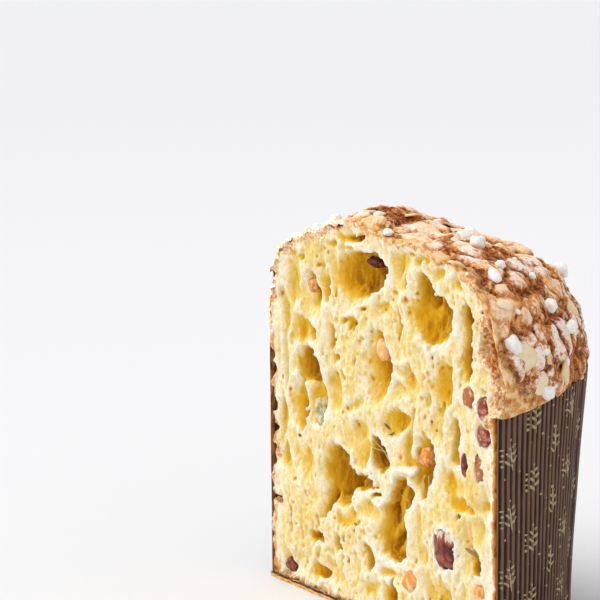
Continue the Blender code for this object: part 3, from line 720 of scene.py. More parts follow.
def surfaced(made, paint, relief=None, strength=0.0, height=0.0, soaked=0.0, radius=(1.0, 1.0, 1.0),
             depth=1.0):
    """Finishes a material: its colour, a fine relief so many millimetres high, and how far light soaks in."""
    tree = made.node_tree
    shader = tree.nodes["Principled BSDF"]
    tree.links.new(paint, shader.inputs["Base Color"])
    if relief:
        bumps = node(tree, "Bump", Height=relief, Strength=strength, Distance=height * MM)
        tree.links.new(bumps, shader.inputs["Normal"])
    if soaked:
        shader.inputs["Subsurface Weight"].default_value = soaked
        shader.inputs["Subsurface Radius"].default_value = radius
        shader.inputs["Subsurface Scale"].default_value = depth * MM
    return made


# noise drawn out upwards, as the crumb's fibres run, and a little less so, for its torn surface
UPWARDS = (1.0, 1.0, 0.5)
TORN = (1.0, 1.0, 0.6)


def crumb_material():
    """Soft yeast crumb, torn by the knife: cream on the ridges, golden in the hollows, and painted darker,
    from deep gold to brown, as shade deep in the bubbles.
    """
    made, tree = new_material("soft_crumb", 0.7, 0.08)
    depth = node(tree, "Attribute", attribute_name="tone", out="Fac")
    tone = uneven(tree, "tone", 0.3, 1.4, 4.0, UPWARDS)
    tone = node(tree, "Math", grain(tree, 9.0, 2.0, TORN), 0.36, tone, operation='MULTIPLY_ADD')
    tone = node(tree, "Math", tone, 0.6, -0.14, operation='MULTIPLY_ADD')
    # from the crumb's cream to gold; the dark gold and brown stops are painted shade deep in the bubbles and
    # under their rims
    paint = node(tree, "ValToRGB", tone, stops=[
        (0.0, "#FFF8E8"), (0.12, shades().crumb_ridge), (0.25, "#F3D684"), (0.42, shades().crumb_hollow),
        (0.6, "#DC9E0C"), (0.78, "#B87A06"), (1.0, "#7E4604")])
    # pale torn threads and golden pits stand out on the ridges and fade in the hollows
    threads = ((1.1, 5.0, 0.75, 0.49, 0.6, -0.8, 0.62, "#FDF7E8"),
               (1.6, 6.0, 0.72, 0.54, 0.62, -0.3, 0.55, "#E4B64A"))
    for size, detail, rough, low, high, fall, most, over in threads:
        share = node(tree, "Math", depth, fall, most, operation='MULTIPLY_ADD')
        paint = covered(tree, paint, grain(tree, size, detail, TORN, rough), low, high, over, share)
    # the walls of the bubbles are streaked with paler fibres
    sunken = node(tree, "MapRange", depth, 0.45, 1.0, 0.0, 0.45, interpolation_type='SMOOTHSTEP')
    paint = covered(tree, paint, grain(tree, 1.7, 4.0, (1.0, 1.0, 0.2), 0.6), 0.5, 0.6, "#EDC23C", sunken)
    # the bread browns within a couple of millimetres of its paper, and in crumbly patches by the crust
    rind = uneven(tree, "rind", 1.4, 2.6, 5.0, UPWARDS, 0.65)
    paint = covered(tree, paint, rind, 1.1, 1.4, "#E09A48")
    paint = covered(tree, paint, rind, 1.52, 1.8, "#A45E20")
    craggy = uneven(tree, "craggy", 1.8, 2.0, 6.0, rough=0.72)
    crumbs = node(tree, "ValToRGB", grain(tree, 1.8, 6.0, rough=0.7),
                  stops=[(0.38, "#D07E2C"), (0.47, "#ECBA74"), (0.58, "#FAEDD4")])
    paint = covered(tree, paint, craggy, 1.15, 1.6, crumbs)
    baked = node(tree, "ValToRGB", grain(tree, 2.2, 5.0, rough=0.68),
                 stops=[(0.38, "#8A4414"), (0.48, "#B9682C"), (0.58, "#DFA664")])
    paint = covered(tree, paint, craggy, 1.6, 2.2, baked)
    return surfaced(made, paint, grain(tree, 1.2, 6.0, TORN, 0.76), 0.9, 0.9, 0.4, (1.0, 0.8, 0.35), 2.2)


def crust_material():
    """Baked almond glaze: brown where it browned and cracked, pale and dusty where the sugar stayed dry, with
    painted light making its top lighter and a painted highlight by the cut at the left.
    """
    made, tree = new_material("almond_glaze_crust", 0.7, 0.12)
    glaze = uneven(tree, "glaze", 2.6, 2.8, 6.0, rough=0.78)
    bake = uneven(tree, "bake", 0.6, 5.0, 4.0)
    flaky = grain(tree, 2.3, 5.0, rough=0.66)
    # the bake sets the brown; its low values towards the top paint the crust lighter there, as painted light
    paint = node(tree, "ValToRGB", bake,
                 stops=[(0.2, "#EA9E54"), (0.45, "#CC7830"), (0.7, shades().crust_brown), (0.95, "#6E3610")])
    paint = covered(tree, paint, flaky, 0.53, 0.6, "#F0C08A", 0.55)
    paint = covered(tree, paint, flaky, 0.46, 0.38, "#84400F", 0.7)
    dusted = node(tree, "ValToRGB", bake, stops=[(0.25, "#F2BA84"), (0.6, "#DCA680")])
    paint = covered(tree, paint, glaze, 1.66, 1.9, dusted)
    sugary = node(tree, "ValToRGB", bake, stops=[(0.25, "#F9D2AC"), (0.6, shades().crust_sugar)])
    paint = covered(tree, paint, glaze, 1.82, 2.12, sugary)
    broken = node(tree, "ValToRGB", flaky, stops=[(0.4, "#521F06"), (0.5, "#8C4616"), (0.6, "#C07C40")])
    paint = covered(tree, paint, uneven(tree, "crack", 0.9, 2.4, 5.0, rough=0.7), 0.8, 1.12, broken, 0.95)
    paint = covered(tree, paint, grain(tree, 1.6, 5.0, rough=0.7), 0.57, 0.66, "#AE6432", 0.62)
    # by the cut and along the rim the crust is thin glaze over bread, so lighter and more golden
    crumbs = node(tree, "ValToRGB", grain(tree, 3.4, 4.0, rough=0.55),
                  stops=[(0.36, "#C27834"), (0.48, "#E2A660"), (0.62, "#F4D6A4")])
    paint = covered(tree, paint, uneven(tree, "golden", 0.8, 2.0, 4.0), 0.6, 1.1, crumbs, 0.9)
    # on the left of the cut the crust is painted nearly white with orange specks: partly crumbling dry sugar
    # glaze, partly a painted highlight from the light at the upper left
    glaze_and_glare = node(tree, "ValToRGB", grain(tree, 1.8, 6.0, rough=0.72),
               stops=[(0.36, "#E0923E"), (0.45, "#F8DCA6"), (0.55, "#FFFAF0")])
    paint = covered(tree, paint, uneven(tree, "pale", 0.9, 2.2, 5.0, rough=0.7), 0.75, 1.05, glaze_and_glare)
    return surfaced(made, paint, grain(tree, 2.2, 6.0, rough=0.66), 0.6, 1.0, 0.12, (1.0, 0.6, 0.3), 1.5)


def almond_material():
    """Blanched almond, sliced thin and toasted: ivory faces, browner towards the rim."""
    made, tree = new_material("toasted_almond", 0.5, 0.4)
    paint = node(tree, "ValToRGB", uneven(tree, "toast", 0.6, 4.0),
                 stops=[(0.2, "#F2DEBA"), (0.5, shades().almond), (0.75, "#D8A662"), (1.0, "#B4763C")])
    return surfaced(made, paint, grain(tree, 0.8, 4.0), 0.25, 0.3, 0.15, (1.0, 0.7, 0.4), 1.5)


def sugar_material():
    """Pearl sugar: pressed white grains, chalky with a faint sparkle."""
    made, tree = new_material("pearl_sugar", 0.45, 0.5)
    paint = node(tree, "ValToRGB", grain(tree, 1.8), stops=[(0.3, "#E9E6DE"), (0.7, shades().sugar)])
    return surfaced(made, paint, grain(tree, 0.6, 4.0), 0.5, 0.35, 0.4, (1.0, 0.95, 0.9), 1.6)


def raisin_material():
    """Raisin skin: dark red brown, wrinkled, with a dull sugar bloom on its high places."""
    made, tree = new_material("raisin_skin", 0.3, 0.3)
    paint = node(tree, "ValToRGB", uneven(tree, "bloom", 0.5, 2.5), stops=[
        (0.2, "#340F0A"), (0.4, shades().raisin), (0.65, "#96452C"), (0.82, "#A85E44"), (1.0, "#CDBFAC")])
    return surfaced(made, paint, grain(tree, 1.0, 4.0), 0.3, 0.3, 0.2, (1.0, 0.25, 0.15), 1.5)


def peel_material():
    """Candied orange peel: soaked in syrup, so clear orange and glossy, with crumb clinging to it."""
    made, tree = new_material("candied_peel", 0.22, 0.5)
    paint = node(tree, "ValToRGB", uneven(tree, "tint", 0.7, 3.5, 4.0),
                 stops=[(0.3, "#F2C48C"), (0.55, "#EBA650"), (0.85, shades().peel), (1.25, "#B06022")])
    paint = covered(tree, paint, grain(tree, 2.2, 5.0, UPWARDS, 0.65), 0.5, 0.62, "#F4E2B4", 0.6)
    return surfaced(made, paint, grain(tree, 0.9), 0.2, 0.3, 0.3, (1.0, 0.65, 0.3), 1.5)


def citron_material():
    """Candied citron: green-grey, cloudy, seen through a film of crumb."""
    made, tree = new_material("candied_citron", 0.35, 0.4)
    paint = node(tree, "ValToRGB", grain(tree, 2.2, 4.0),
                 stops=[(0.3, "#8A8260"), (0.5, shades().citron), (0.7, "#D2C89C")])
    paint = covered(tree, paint, grain(tree, 2.0, 5.0, UPWARDS, 0.65), 0.47, 0.6, "#F0E4B8", 0.7)
    return surfaced(made, paint, grain(tree, 0.8, 4.0), 0.4, 0.4, 0.3, (0.8, 0.8, 0.3), 2.0)


def bit_material():
    """Vanilla seeds and scraps of peel: nearly black, or orange brown where they are peel."""
    made, tree = new_material("seeds_and_scraps", 0.55, 0.2)
    paint = node(tree, "ValToRGB", uneven(tree, "tint", 0.3, 1.0),
                 stops=[(0.1, "#6A5640"), (0.35, "#927050"), (0.7, "#C07A34"), (1.0, "#DE9434")])
    return surfaced(made, paint)


# the sprig printed on the case: place, half sizes and turn of each stroke and leaf, mm
SPRIG = [
    ((0.6, 0.2), (0.36, 6.4), 6), ((-1.3, -2.8), (2.0, 0.6), -38), ((-1.0, 0.6), (1.8, 0.55), -40),
    ((-0.6, 3.6), (1.5, 0.5), -42), ((2.3, -1.4), (2.0, 0.6), 40), ((2.1, 2.0), (1.7, 0.55), 42),
    ((1.7, 4.8), (1.2, 0.45), 46), ((0, 7.4), (0.7, 0.7), 0), ((-4.6, -3.6), (0.65, 0.65), 0),
    ((-4.8, -1.2), (1.0, 0.4), 0), ((-4.6, 1.2), (0.65, 0.65), 0), ((-4.8, 3.6), (1.0, 0.4), 0),
    ((5.2, -7.2), (0.5, 0.5), 0), ((-2.6, -9.6), (0.5, 0.5), 0),
]
# how far apart the sprigs stand, across and up, mm
SPRIG_WIDE, SPRIG_TALL = 14.5, 27.0


def sprig_mask(tree, wrap):
    """1 on the printed sprigs: columns of them, every other one half a step higher."""
    parts = [node(tree, "SeparateXYZ", wrap, out=axis) for axis in "XY"]
    along, up = (node(tree, "Math", part, 1 / MM, operation='MULTIPLY') for part in parts)
    column = node(tree, "Math", along, SPRIG_WIDE, operation='DIVIDE')
    column = node(tree, "Math", column, operation='FLOOR')
    odd = node(tree, "Math", column, 1.0, operation='PINGPONG')
    shifted = node(tree, "Math", odd, SPRIG_TALL / 2, up, operation='MULTIPLY_ADD')
    across = node(tree, "Math", along, SPRIG_WIDE, 0.0, operation='WRAP')
    above = node(tree, "Math", shifted, SPRIG_TALL, 0.0, operation='WRAP')
    place = node(tree, "CombineXYZ", across, above, 0.0)
    mask = 0.0
    for (x, y), radii, turn in SPRIG:
        oval = node(tree, "Mapping", place, Location=(x + SPRIG_WIDE / 2, y + SPRIG_TALL / 2, 0.0),
                    Rotation=(0.0, 0.0, math.radians(turn)), Scale=(*radii, 1.0), vector_type='TEXTURE')
        away = node(tree, "VectorMath", oval, operation='LENGTH')
        inside = node(tree, "MapRange", away, 1.12, 0.88, interpolation_type='SMOOTHSTEP')
        mask = node(tree, "Math", inside, mask, operation='MAXIMUM')
    return mask


def paper_material():
    """Grease-proof baking paper, printed dark brown and pressed into pleats, with small pale sprigs; its
    pleats' ridges are painted lighter and their valleys darker, as painted light and shade.
    """
    made, tree = new_material("printed_baking_paper", 0.6, 0.12)
    # painted light and shade of the pleats: lighter on the ridges, darker in the valleys and in the seam's
    # gap, with random streaks of tone
    pleat_shade = uneven(tree, "ridge", 0.5, 1.3, 4.0, (1.0, 1.0, 0.25))
    pleat_shade = node(tree, "Math", grain(tree, 14.0, 2.0), 0.4, pleat_shade, operation='MULTIPLY_ADD')
    pleat_shade = node(tree, "Math", grain(tree, 2.6, 1.0, (1.0, 1.0, 0.04)), 0.8, pleat_shade, operation='MULTIPLY_ADD')
    pleat_shade = node(tree, "Math", pleat_shade, 0.4, operation='SUBTRACT')
    paint = node(tree, "ValToRGB", pleat_shade,
                 stops=[(0.2, "#1A110D"), (0.6, shades().paper), (1.0, "#563E32"), (1.4, "#745A49")])
    # the ink is worn on the paper's grain
    ink = sprig_mask(tree, node(tree, "UVMap", uv_map="wrap"))
    ink = node(tree, "Math", ink, 0.95, operation='MULTIPLY')
    paint = covered(tree, paint, grain(tree, 1.2), 0.3, 0.5, shades().sprigs, ink)
    inner = node(tree, "ValToRGB", grain(tree, 3.0, 4.0, (1.0, 1.0, 0.4)),
                 stops=[(0.35, "#4E2F1A"), (0.5, "#8A5A2E"), (0.7, "#B9803F")])
    bare = node(tree, "Attribute", attribute_name="bare", out="Fac")
    paint = node(tree, "Mix", bare, paint, inner, data_type='RGBA')
    return surfaced(made, paint, grain(tree, 0.7, 4.0), 0.15, 0.2)


def base_material():
    """The case's bottom: two layers of card soaked with butter, tan at the cut, with a dark brown line painted
    between them as the shade in the gap.
    """
    made, tree = new_material("toasted_base_paper", 0.6, 0.3)
    paint = node(tree, "ValToRGB", grain(tree, 3.0, 4.0, (1.0, 1.0, 3.0)),
                 stops=[(0.3, "#A0662C"), (0.46, shades().base_paper), (0.66, "#EEC488")])
    height = node(tree, "SeparateXYZ", node(tree, "TexCoord", out="Object"), out="Z")
    height = node(tree, "Math", height, 1 / MM, operation='MULTIPLY')
    # painted shade: a dark brown band about two millimetres up, for the shadow in the gap between the layers
    layer_gap_shade = node(tree, "Math", grain(tree, 3.0, 4.0), 2.0, height, operation='MULTIPLY_ADD')
    below = node(tree, "MapRange", layer_gap_shade, 3.8, 3.5, interpolation_type='SMOOTHSTEP')
    paint = covered(tree, paint, layer_gap_shade, 2.5, 2.8, "#583314", below)
    return surfaced(made, paint, grain(tree, 0.8, 4.0), 0.4, 0.4)


def card_material():
    """White card under the loaf, a little darker away from it."""
    made, tree = new_material("white_ground", 0.8)
    away = node(tree, "VectorMath", node(tree, "TexCoord", out="Object"), operation='LENGTH')
    return surfaced(made, covered(tree, "#DCDCDD", away, 0.2, 1.6, "#D4D4D5"))


# pieces


def put_attribute(mesh, name, values):
    """A number at each vertex, for the material to read."""
    stored = mesh.attributes.new(name, 'FLOAT', 'POINT')
    stored.data.foreach_set("value", np.asarray(values, dtype=np.float32))


def finish_piece(name, made, material, slot, *nodes, numbers=None, sharp=None):
    """Makes a piece from a bmesh drawn in millimetres, and hides the solids it stands for."""
    if isinstance(made, bmesh.types.BMesh):
        bmesh.ops.transform(made, matrix=Matrix.Translation(FOOT) @ Matrix.Scale(MM, 4), verts=made.verts)
        mesh = bpy.data.meshes.new(name)
        made.to_mesh(mesh)
        made.free()
    else:
        mesh = made
    for key, values in (numbers or {}).items():
        put_attribute(mesh, key, values)
    mesh.shade_smooth()
    if sharp:
        mesh.set_sharp_from_angle(angle=math.radians(sharp))
    mesh.materials.append(material)
    thing = bpy.data.objects.new(name, mesh)
    bpy.context.scene.collection.objects.link(thing)
    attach(thing, "root")
    if nodes:
        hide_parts(*nodes)
    return thing


def on_crust(tree, bearing, elevation):
    """Where a ray from the middle of the rim leaves the crust, and which way the crust faces there."""
    b, e = math.radians(bearing), math.radians(elevation)
    way = Vector((math.cos(b) * math.cos(e), max(math.sin(b) * math.cos(e), 0.01), math.sin(e)))
    spot, out, _, _ = tree.ray_cast(Vector((0, 0.3, CASE_HEIGHT)), way)
    out = out if out.dot(way) > 0 else -out
    half, rise = 86, 68
    smooth = Vector((spot.x / half ** 2, spot.y / SIDE_RIM ** 2, (spot.z - CASE_HEIGHT) / rise ** 2))
    return spot, (0.35 * out + 0.65 * smooth.normalized()).normalized()


def lying(out, turn):
    """Axes along, across and out of the crust for a topping turned by so many degrees."""
    guide = Vector((0, 0, 1)) if abs(out.z) < 0.9 else Vector((0, 1, 0))
    side = out.cross(guide).normalized()
    fore = out.cross(side).normalized()
    c, s = math.cos(math.radians(turn)), math.sin(math.radians(turn))
    return Matrix((side * c + fore * s, fore * c - side * s, out)).transposed()


def crust_tree():
    """The crust's skin for laying things on."""
    sheet, _, _ = crust_sheet(90, 60)
    made = bmesh.new()
    rows = [[made.verts.new(p) for p in column] for column in sheet]
    for one, two in zip(rows, rows[1:]):
        for k in range(len(one) - 1):
            made.faces.new((one[k], two[k], two[k + 1], one[k + 1]))
    made.normal_update()
    tree = BVHTree.FromBMesh(made)
    made.free()
    return tree


def spread_out(wanted, seed, taken, apart):
    """Random bearings and elevations over the dome, each clear of those before it."""
    low, high = math.sin(math.radians(6.0)), math.sin(math.radians(86.0))
    draw = random.Random(seed)
    spots = []
    while len(spots) < wanted:
        bearing = draw.uniform(2, 178)
        elevation = math.degrees(math.asin(draw.uniform(low, high)))
        narrow = math.cos(math.radians(elevation))
        if all(math.hypot((bearing - b) * narrow, elevation - e) > apart for b, e in taken + spots):
            spots.append((bearing, elevation))
    return spots


def crumb_marks(spots, margin, under, crowd, close, crest):
    """How golden the crumb is, painted darker as shade deep in its bubbles and hollows and a little lighter on
    its crests, how near its rind and how craggy, by where it lies.
    """
    x, y, z = spots.T
    sunk = np.maximum(y - 0.5, 0)
    hollow = np.clip((crowd - 0.46) / 0.3, 0, 1)
    dent = np.clip((close - 0.5) / 0.25, -0.6, 1)
    domed = z > CASE_HEIGHT + 1.5
    # painted light and shade: the crumb is painted more golden, then brown, with depth behind the cut, depth
    # under its torn face and the crumb crowding round, for shade and for light soaking through the walls;
    # crests are painted a little lighter. Only part of this gold is the crumb's own colour
    tone = (0.5 * (1 - np.exp(-(sunk / 2.6) ** 1.3)) + 0.46 * (1 - np.exp(-under / 2.6)) + 0.36 * hollow
            + 0.24 * dent + 0.28 * fading(-margin, 4) * domed * np.clip((x + 30) / 40, 0, 1)
            + 0.22 * (1 - fading(sunk - 10, 5)) - 0.15 * crest * np.exp(-sunk / 3))
    # the rind is wider at the left, and there is one over the foot too
    rind = fading(-margin, np.where(x < 0, 3.4, 2.4)) + 1.35 * np.exp((0.9 - z) / 3.0)
    craggy = 0.7 * fading(-margin, 2.5) * domed
    for at_x, at_z, wide, tall, much in BROWNED:
        craggy += much * np.exp(-(((x - at_x) / wide) ** 2 + ((z - at_z) / tall) ** 2) ** 1.5)
    return {"tone": np.clip(tone, -0.2, 1.8), "rind": rind, "craggy": np.clip(craggy, 0, 1.4)}


class LOAF_OT_crumb(bpy.types.Operator):
    """Makes the open crumb of the cut"""

    bl_idname = "loaf.crumb"
    bl_label = "Crumb"

    def execute(self, context):
        sizes = context.scene.loaf
        slab = sizes.slab / MM
        grid, edge, whole, strands = crumb_block(sizes.grid_step / MM, slab)
        volume = openvdb.FloatGrid(9.0)
        volume.copyFromArray(grid.field)
        points, threes, quads = volume.convertToPolygons(isovalue=0.0, adaptivity=0.05)
        places = points.astype(np.float64)
        spots = grid.low + places * grid.step
        mesh = bpy.data.meshes.new("crumb")
        faces = [tuple(corners) for kind in (quads, threes) for corners in kind[:, ::-1]]
        mesh.from_pydata(spots, [], faces)
        margin = read_at(edge, places)
        crowd, close = (read_at(round_about(grid.field < 0, grid.step, far), places) for far in (4.0, 1.4))
        under = np.maximum(-read_at(whole, places) - 0.4, 0)
        marks = crumb_marks(spots, margin, under, crowd, close, read_at(strands, places) - 0.3)
        for name, values in marks.items():
            put_attribute(mesh, name, values)
        whole_crumb = bmesh.new()
        whole_crumb.from_mesh(mesh)
        bpy.data.meshes.remove(mesh)
        # what the crust, the case or the bread behind hides is left out
        hidden = [f for f in whole_crumb.faces if f.calc_center_median().y > slab - 2.5
                  or (f.calc_center_median().y > 4 and all(margin[v.index] > -0.05 for v in f.verts))]
        bmesh.ops.delete(whole_crumb, geom=hidden, context='FACES')
        material = crumb_material()
        for name, low, high in (("crumb_low", 0, 62), ("crumb_middle", 62, 120), ("crumb_high", 120, 999)):
            made = whole_crumb.copy()
            others = [f for f in made.faces if not low <= f.calc_center_median().z < high]
            bmesh.ops.delete(made, geom=others, context='FACES')
            finish_piece(name, made, material, "bread", "loaf")
        whole_crumb.free()
        return {'FINISHED'}


def crust_marks(p):
    """The crust at a point: glaze, bake with a painted lighter top, how golden, how pale with a painted
    highlight at the left, the gap by a dome, and its rise.
    """
    patch = noise.noise(p / 8.0 + Vector((3, 9, 4))) + 0.6 * noise.noise(p / 3.5)
    scales = noise.voronoi((p + 1.2 * wobble(p / 3.0)) / 5.5)[0]
    knob = min((scales[1] - scales[0]) / 0.5, 1.0)
    grit = noise.noise(p / 1.4) + 0.7 * noise.noise(p / 0.75)
    above = clamp((p.z - 118) / 50)
    share = clamp(0.45 + 0.8 * patch + 0.25 * (above - 0.45))
    # painted light: the bake falls with height, so the crust is painted lighter towards its top, where the
    # light from above falls on it
    bake = 0.42 - 0.35 * above + 0.4 * noise.noise(p / 12.0 + Vector((1, 1, 1)))
    golden = math.exp(-p.y / 4.5) + 0.75 * math.exp(-max(p.z - 117, 0) / 9.0) * max(1 - p.y / 85, 0.2)
    # partly a painted highlight: the crust just left of the cut is painted nearly white for the light from the
    # upper left burning it out, over pale sugar glaze that is really there
    pale = clamp((-12 - p.x) / 22) * math.exp(-p.y / 9) * 0.8
    # the broad domes, with the small scales and the grit on them
    big = noise.voronoi((p + 2.6 * wobble(p / 6.0)) / 16.0 + Vector((4, 0, 2)))[0]
    hump = math.sin(min((big[1] - big[0]) / 0.36, 1.0) * math.pi / 2)
    rough = 0.16 + (0.6 if p.x < 0 else 0.2) * math.exp(-p.y / 6)
    rise = max(0.3 * share * knob + 1.5 * hump + 0.3 * share + rough * grit - 1.25, -0.8)
    gap = 0.85 * (1 - hump) ** 1.5 * clamp(0.75 + 0.9 * noise.noise(p / 9.0), 0.2)
    glaze = 0.42 * share + 0.1 * knob + 0.5 * (hump - 0.7) - 0.2 * math.exp(-max(p.z - 119, 0) / 6)
    return glaze, bake, golden, pale, gap, rise


class LOAF_OT_crust(bpy.types.Operator):
    """Makes the browned crust with its cracks and patches of glaze"""

    bl_idname = "loaf.crust"
    bl_label = "Crust"

    def execute(self, context):
        columns, rows = 340, 150
        sheet, out, crack = crust_sheet(columns, rows)
        flat, ways, crack = sheet.reshape(-1, 3), out.reshape(-1, 3), crack.reshape(-1)
        glaze, bake, golden, pale, gaps, rise = np.array([crust_marks(p) for p in map(Vector, flat)]).T
        marks = {"glaze": glaze + 0.5 * (1 - crack), "bake": bake, "crack": np.maximum(crack, gaps),
                 "golden": golden, "pale": pale}
        # the domes are lower where the crust hangs over the case's rim
        fade = np.clip((flat[:, 2] - (CASE_HEIGHT + 1)) / 3.0, 0.15, 1)
        flat = flat + ways * (rise * fade)[:, None]
        flat[:, 1] = np.maximum(flat[:, 1], 0.0)
        made = bmesh.new()
        bmesh.ops.create_grid(made, x_segments=columns, y_segments=rows, size=1.0)
        layers = {key: made.verts.layers.float.new(key) for key in marks}
        order = sorted(made.verts, key=lambda vert: (round(vert.co.x, 6), round(vert.co.y, 6)))
        for rank, vert in enumerate(order):
            vert.co = flat[rank]
            for key, layer in layers.items():
                vert[layer] = float(marks[key][rank])
        # the sheet's edge is turned in, over the crumb at the cut and under the overhang at the rim
        rim_edges = [e for e in made.edges if e.is_boundary]
        hem = bmesh.ops.extrude_edge_only(made, edges=rim_edges)["geom"]
        for vert in (part for part in hem if isinstance(part, bmesh.types.BMVert)):
            outward = Vector((vert.co.x, vert.co.y, max(vert.co.z - 90, 0)))
            vert.co -= outward.normalized() * 1.6
            vert.co.y += 0.25
            if vert.co.z < 121:
                vert.co.z += 0.6
        bmesh.ops.remove_doubles(made, verts=made.verts, dist=0.02)
        bmesh.ops.recalc_face_normals(made, faces=made.faces)
        if sum(f.normal.dot(f.calc_center_median() - Vector((0, 0, 100))) for f in made.faces) < 0:
            bmesh.ops.reverse_faces(made, faces=made.faces)
        finish_piece("crust", made, crust_material(), "bread", "loaf")
        return {'FINISHED'}


class LOAF_OT_almonds(bpy.types.Operator):
    """Lays thin slices of almond on the crust"""

    bl_idname = "loaf.almonds"
    bl_label = "Almond flakes"

    def execute(self, context):
        tree = crust_tree()
        draw = random.Random(33)
        entries = list(ALMONDS)
        for bearing, elevation in spread_out(context.scene.loaf.flakes, 5, [a[:2] for a in ALMONDS], 7.0):
            long = draw.uniform(6, 9.5)
            entries.append((bearing, elevation, long, long * draw.uniform(0.5, 0.7), draw.uniform(0, 180),
                            draw.uniform(0, 4)))
        made = bmesh.new()
        toast = made.verts.layers.float.new("toast")
        for number, (bearing, elevation, long, short, turn, lift) in enumerate(entries):
            spot, out = on_crust(tree, bearing, elevation)
            axes = lying(out, turn) @ Matrix.Rotation(math.radians(lift), 3, 'Y')
            before = set(made.verts)
            disc = bmesh.ops.create_cone(made, cap_ends=True, segments=22, radius1=1, radius2=1, depth=1.0)
            caps = [f for f in {f for v in disc["verts"] for f in v.link_faces} if len(f.verts) > 4]
            for inset in (0.12, 0.3):
                bmesh.ops.inset_region(made, faces=caps, thickness=inset)
            for vert in [v for v in made.verts if v not in before]:
                x, y, z = vert.co
                far, a = math.hypot(x, y), math.atan2(y, x)
                # a blunt drop in outline, thin at its edge and bent
                outline = (1 + 0.07 * math.sin(3 * a + number) + 0.05 * math.sin(5 * a + 2 * number)
                           - 0.1 * math.cos(a))
                bend = (0.4 * far * far * math.cos(2 * a + number) + 0.25 * math.sin(3 * x + number)
                        - 0.5 * far * far)
                thin = 1.1 - 0.5 * far ** 3
                flake = Vector((x * long / 2 * outline, y * short / 2 * outline, z * thin + bend))
                vert[toast] = 0.35 * far ** 6 + 0.2 * math.sin(number * 1.7)
                vert.co = spot + axes @ flake + out * 0.4
                vert.co.y = max(vert.co.y, 0.1)
        bmesh.ops.recalc_face_normals(made, faces=made.faces)
        finish_piece("almond_flakes", made, almond_material(), "bread", "loaf", sharp=40)
        return {'FINISHED'}


class LOAF_OT_sugar(bpy.types.Operator):
    """Scatters grains of pearl sugar over the crust"""

    bl_idname = "loaf.sugar"
    bl_label = "Pearl sugar"

    def execute(self, context):
        tree = crust_tree()
        draw = random.Random(44)
        entries = list(SUGAR)
        for bearing, elevation in spread_out(context.scene.loaf.grains, 6, [s[:2] for s in SUGAR], 6.0):
            entries.append((bearing, elevation, 0.8 + 1.8 * draw.random() ** 1.6, draw.uniform(0.9, 1.5)))
        made = bmesh.new()
        for number, (bearing, elevation, size, longer) in enumerate(entries):
            spot, out = on_crust(tree, bearing, elevation)
            axes = lying(out, 37.0 * number)
            shift = Vector((number * 3.1, 0, 0))
            fine = 3 if size > 2 else 2
            for vert in bmesh.ops.create_icosphere(made, subdivisions=fine, radius=1.08)["verts"]:
                at = vert.co + shift
                near = noise.voronoi(at * 0.9)[0]
                swell = size * (0.86 + 0.22 * noise.noise(vert.co * 1.4 + shift) + 0.2 * (near[1] - near[0])
                                + 0.06 * noise.noise(at * 5))
                vert.co.x *= longer
                vert.co.z *= 0.85
                vert.co = spot + axes @ (vert.co * swell) + out * size * 0.32
                vert.co.y = max(vert.co.y, 0.1)
        bmesh.ops.recalc_face_normals(made, faces=made.faces)
        finish_piece("sugar_grains", made, sugar_material(), "bread", "loaf")
        return {'FINISHED'}


def fruit_shape(made, entry, seed, rough, square):
    """A fruit's own shape: the solid's oval, squared off or not, with its swell."""
    _, x, z, behind, wide, depth, tall, lean = entry
    turn = Matrix.Rotation(math.radians(-lean), 3, 'Y')
    new = bmesh.ops.create_icosphere(made, subdivisions=5, radius=1.0)["verts"]
    for vert in new:
        way = vert.co.normalized()
        power = sum(abs(part) ** square for part in way) ** (-1 / square)
        swell = 1.02 + rough * noise.noise(way * 1.7 + Vector((seed, seed * 0.7, 3)))
        at = Vector([part * power * size * swell for part, size in zip(way, (wide, depth, tall))])
        vert.co = Vector((x, behind - min(1.2, 0.3 * behind), z)) + turn @ at
    return new


def pressed(depth):
    """How far behind the cut a point lies once the fruit is pressed nearly flush with it."""
    start, give = 0.6, 1.5
    return start - give * math.tanh((start - depth) / give) if depth < start else depth


class LOAF_OT_raisins(bpy.types.Operator):
    """Makes the wrinkled raisins in the crumb"""

    bl_idname = "loaf.raisins"
    bl_label = "Raisins"

    def execute(self, context):
        skin = raisin_material()
        for number, entry in enumerate(RAISINS):
            made = bmesh.new()
            bloom = made.verts.layers.float.new("bloom")
            seed = 2.0 + 4.3 * number
            new = fruit_shape(made, entry, seed, 0.14, 2.7)
            made.normal_update()
            moves = []
            for vert in new:
                at = vert.co / (0.75 * entry[4] if entry[4] > 5 else 3.4) + Vector((seed, 0, 0))
                crease = abs(noise.noise(at + 0.6 * wobble(at * 0.8)))
                crease = min(crease, abs(noise.noise(at * 1.9 + Vector((5, 5, 5)))) + 0.12)
                high = min(crease / 0.28, 1.0)
                moves.append((vert, vert.co + vert.normal * 0.4 * (high - 0.75), high))
            for vert, co, high in moves:
                vert.co = co
                vert.co.y = pressed(vert.co.y)
                # a film of crumb still covers the top of the lowest one
                ragged = vert.co.z - 47.5 + 4 * noise.noise(Vector((vert.co.x / 1.2, 0, vert.co.z / 5)))
                film = 0.95 * clamp(ragged / 6 - 0.1) if entry[0] == "raisin_low" else 0.0
                vert[bloom] = 0.1 + 0.4 * high + film + REDDER.get(entry[0], 0)
            finish_piece(entry[0], made, skin, "raisin", entry[0])
        return {'FINISHED'}


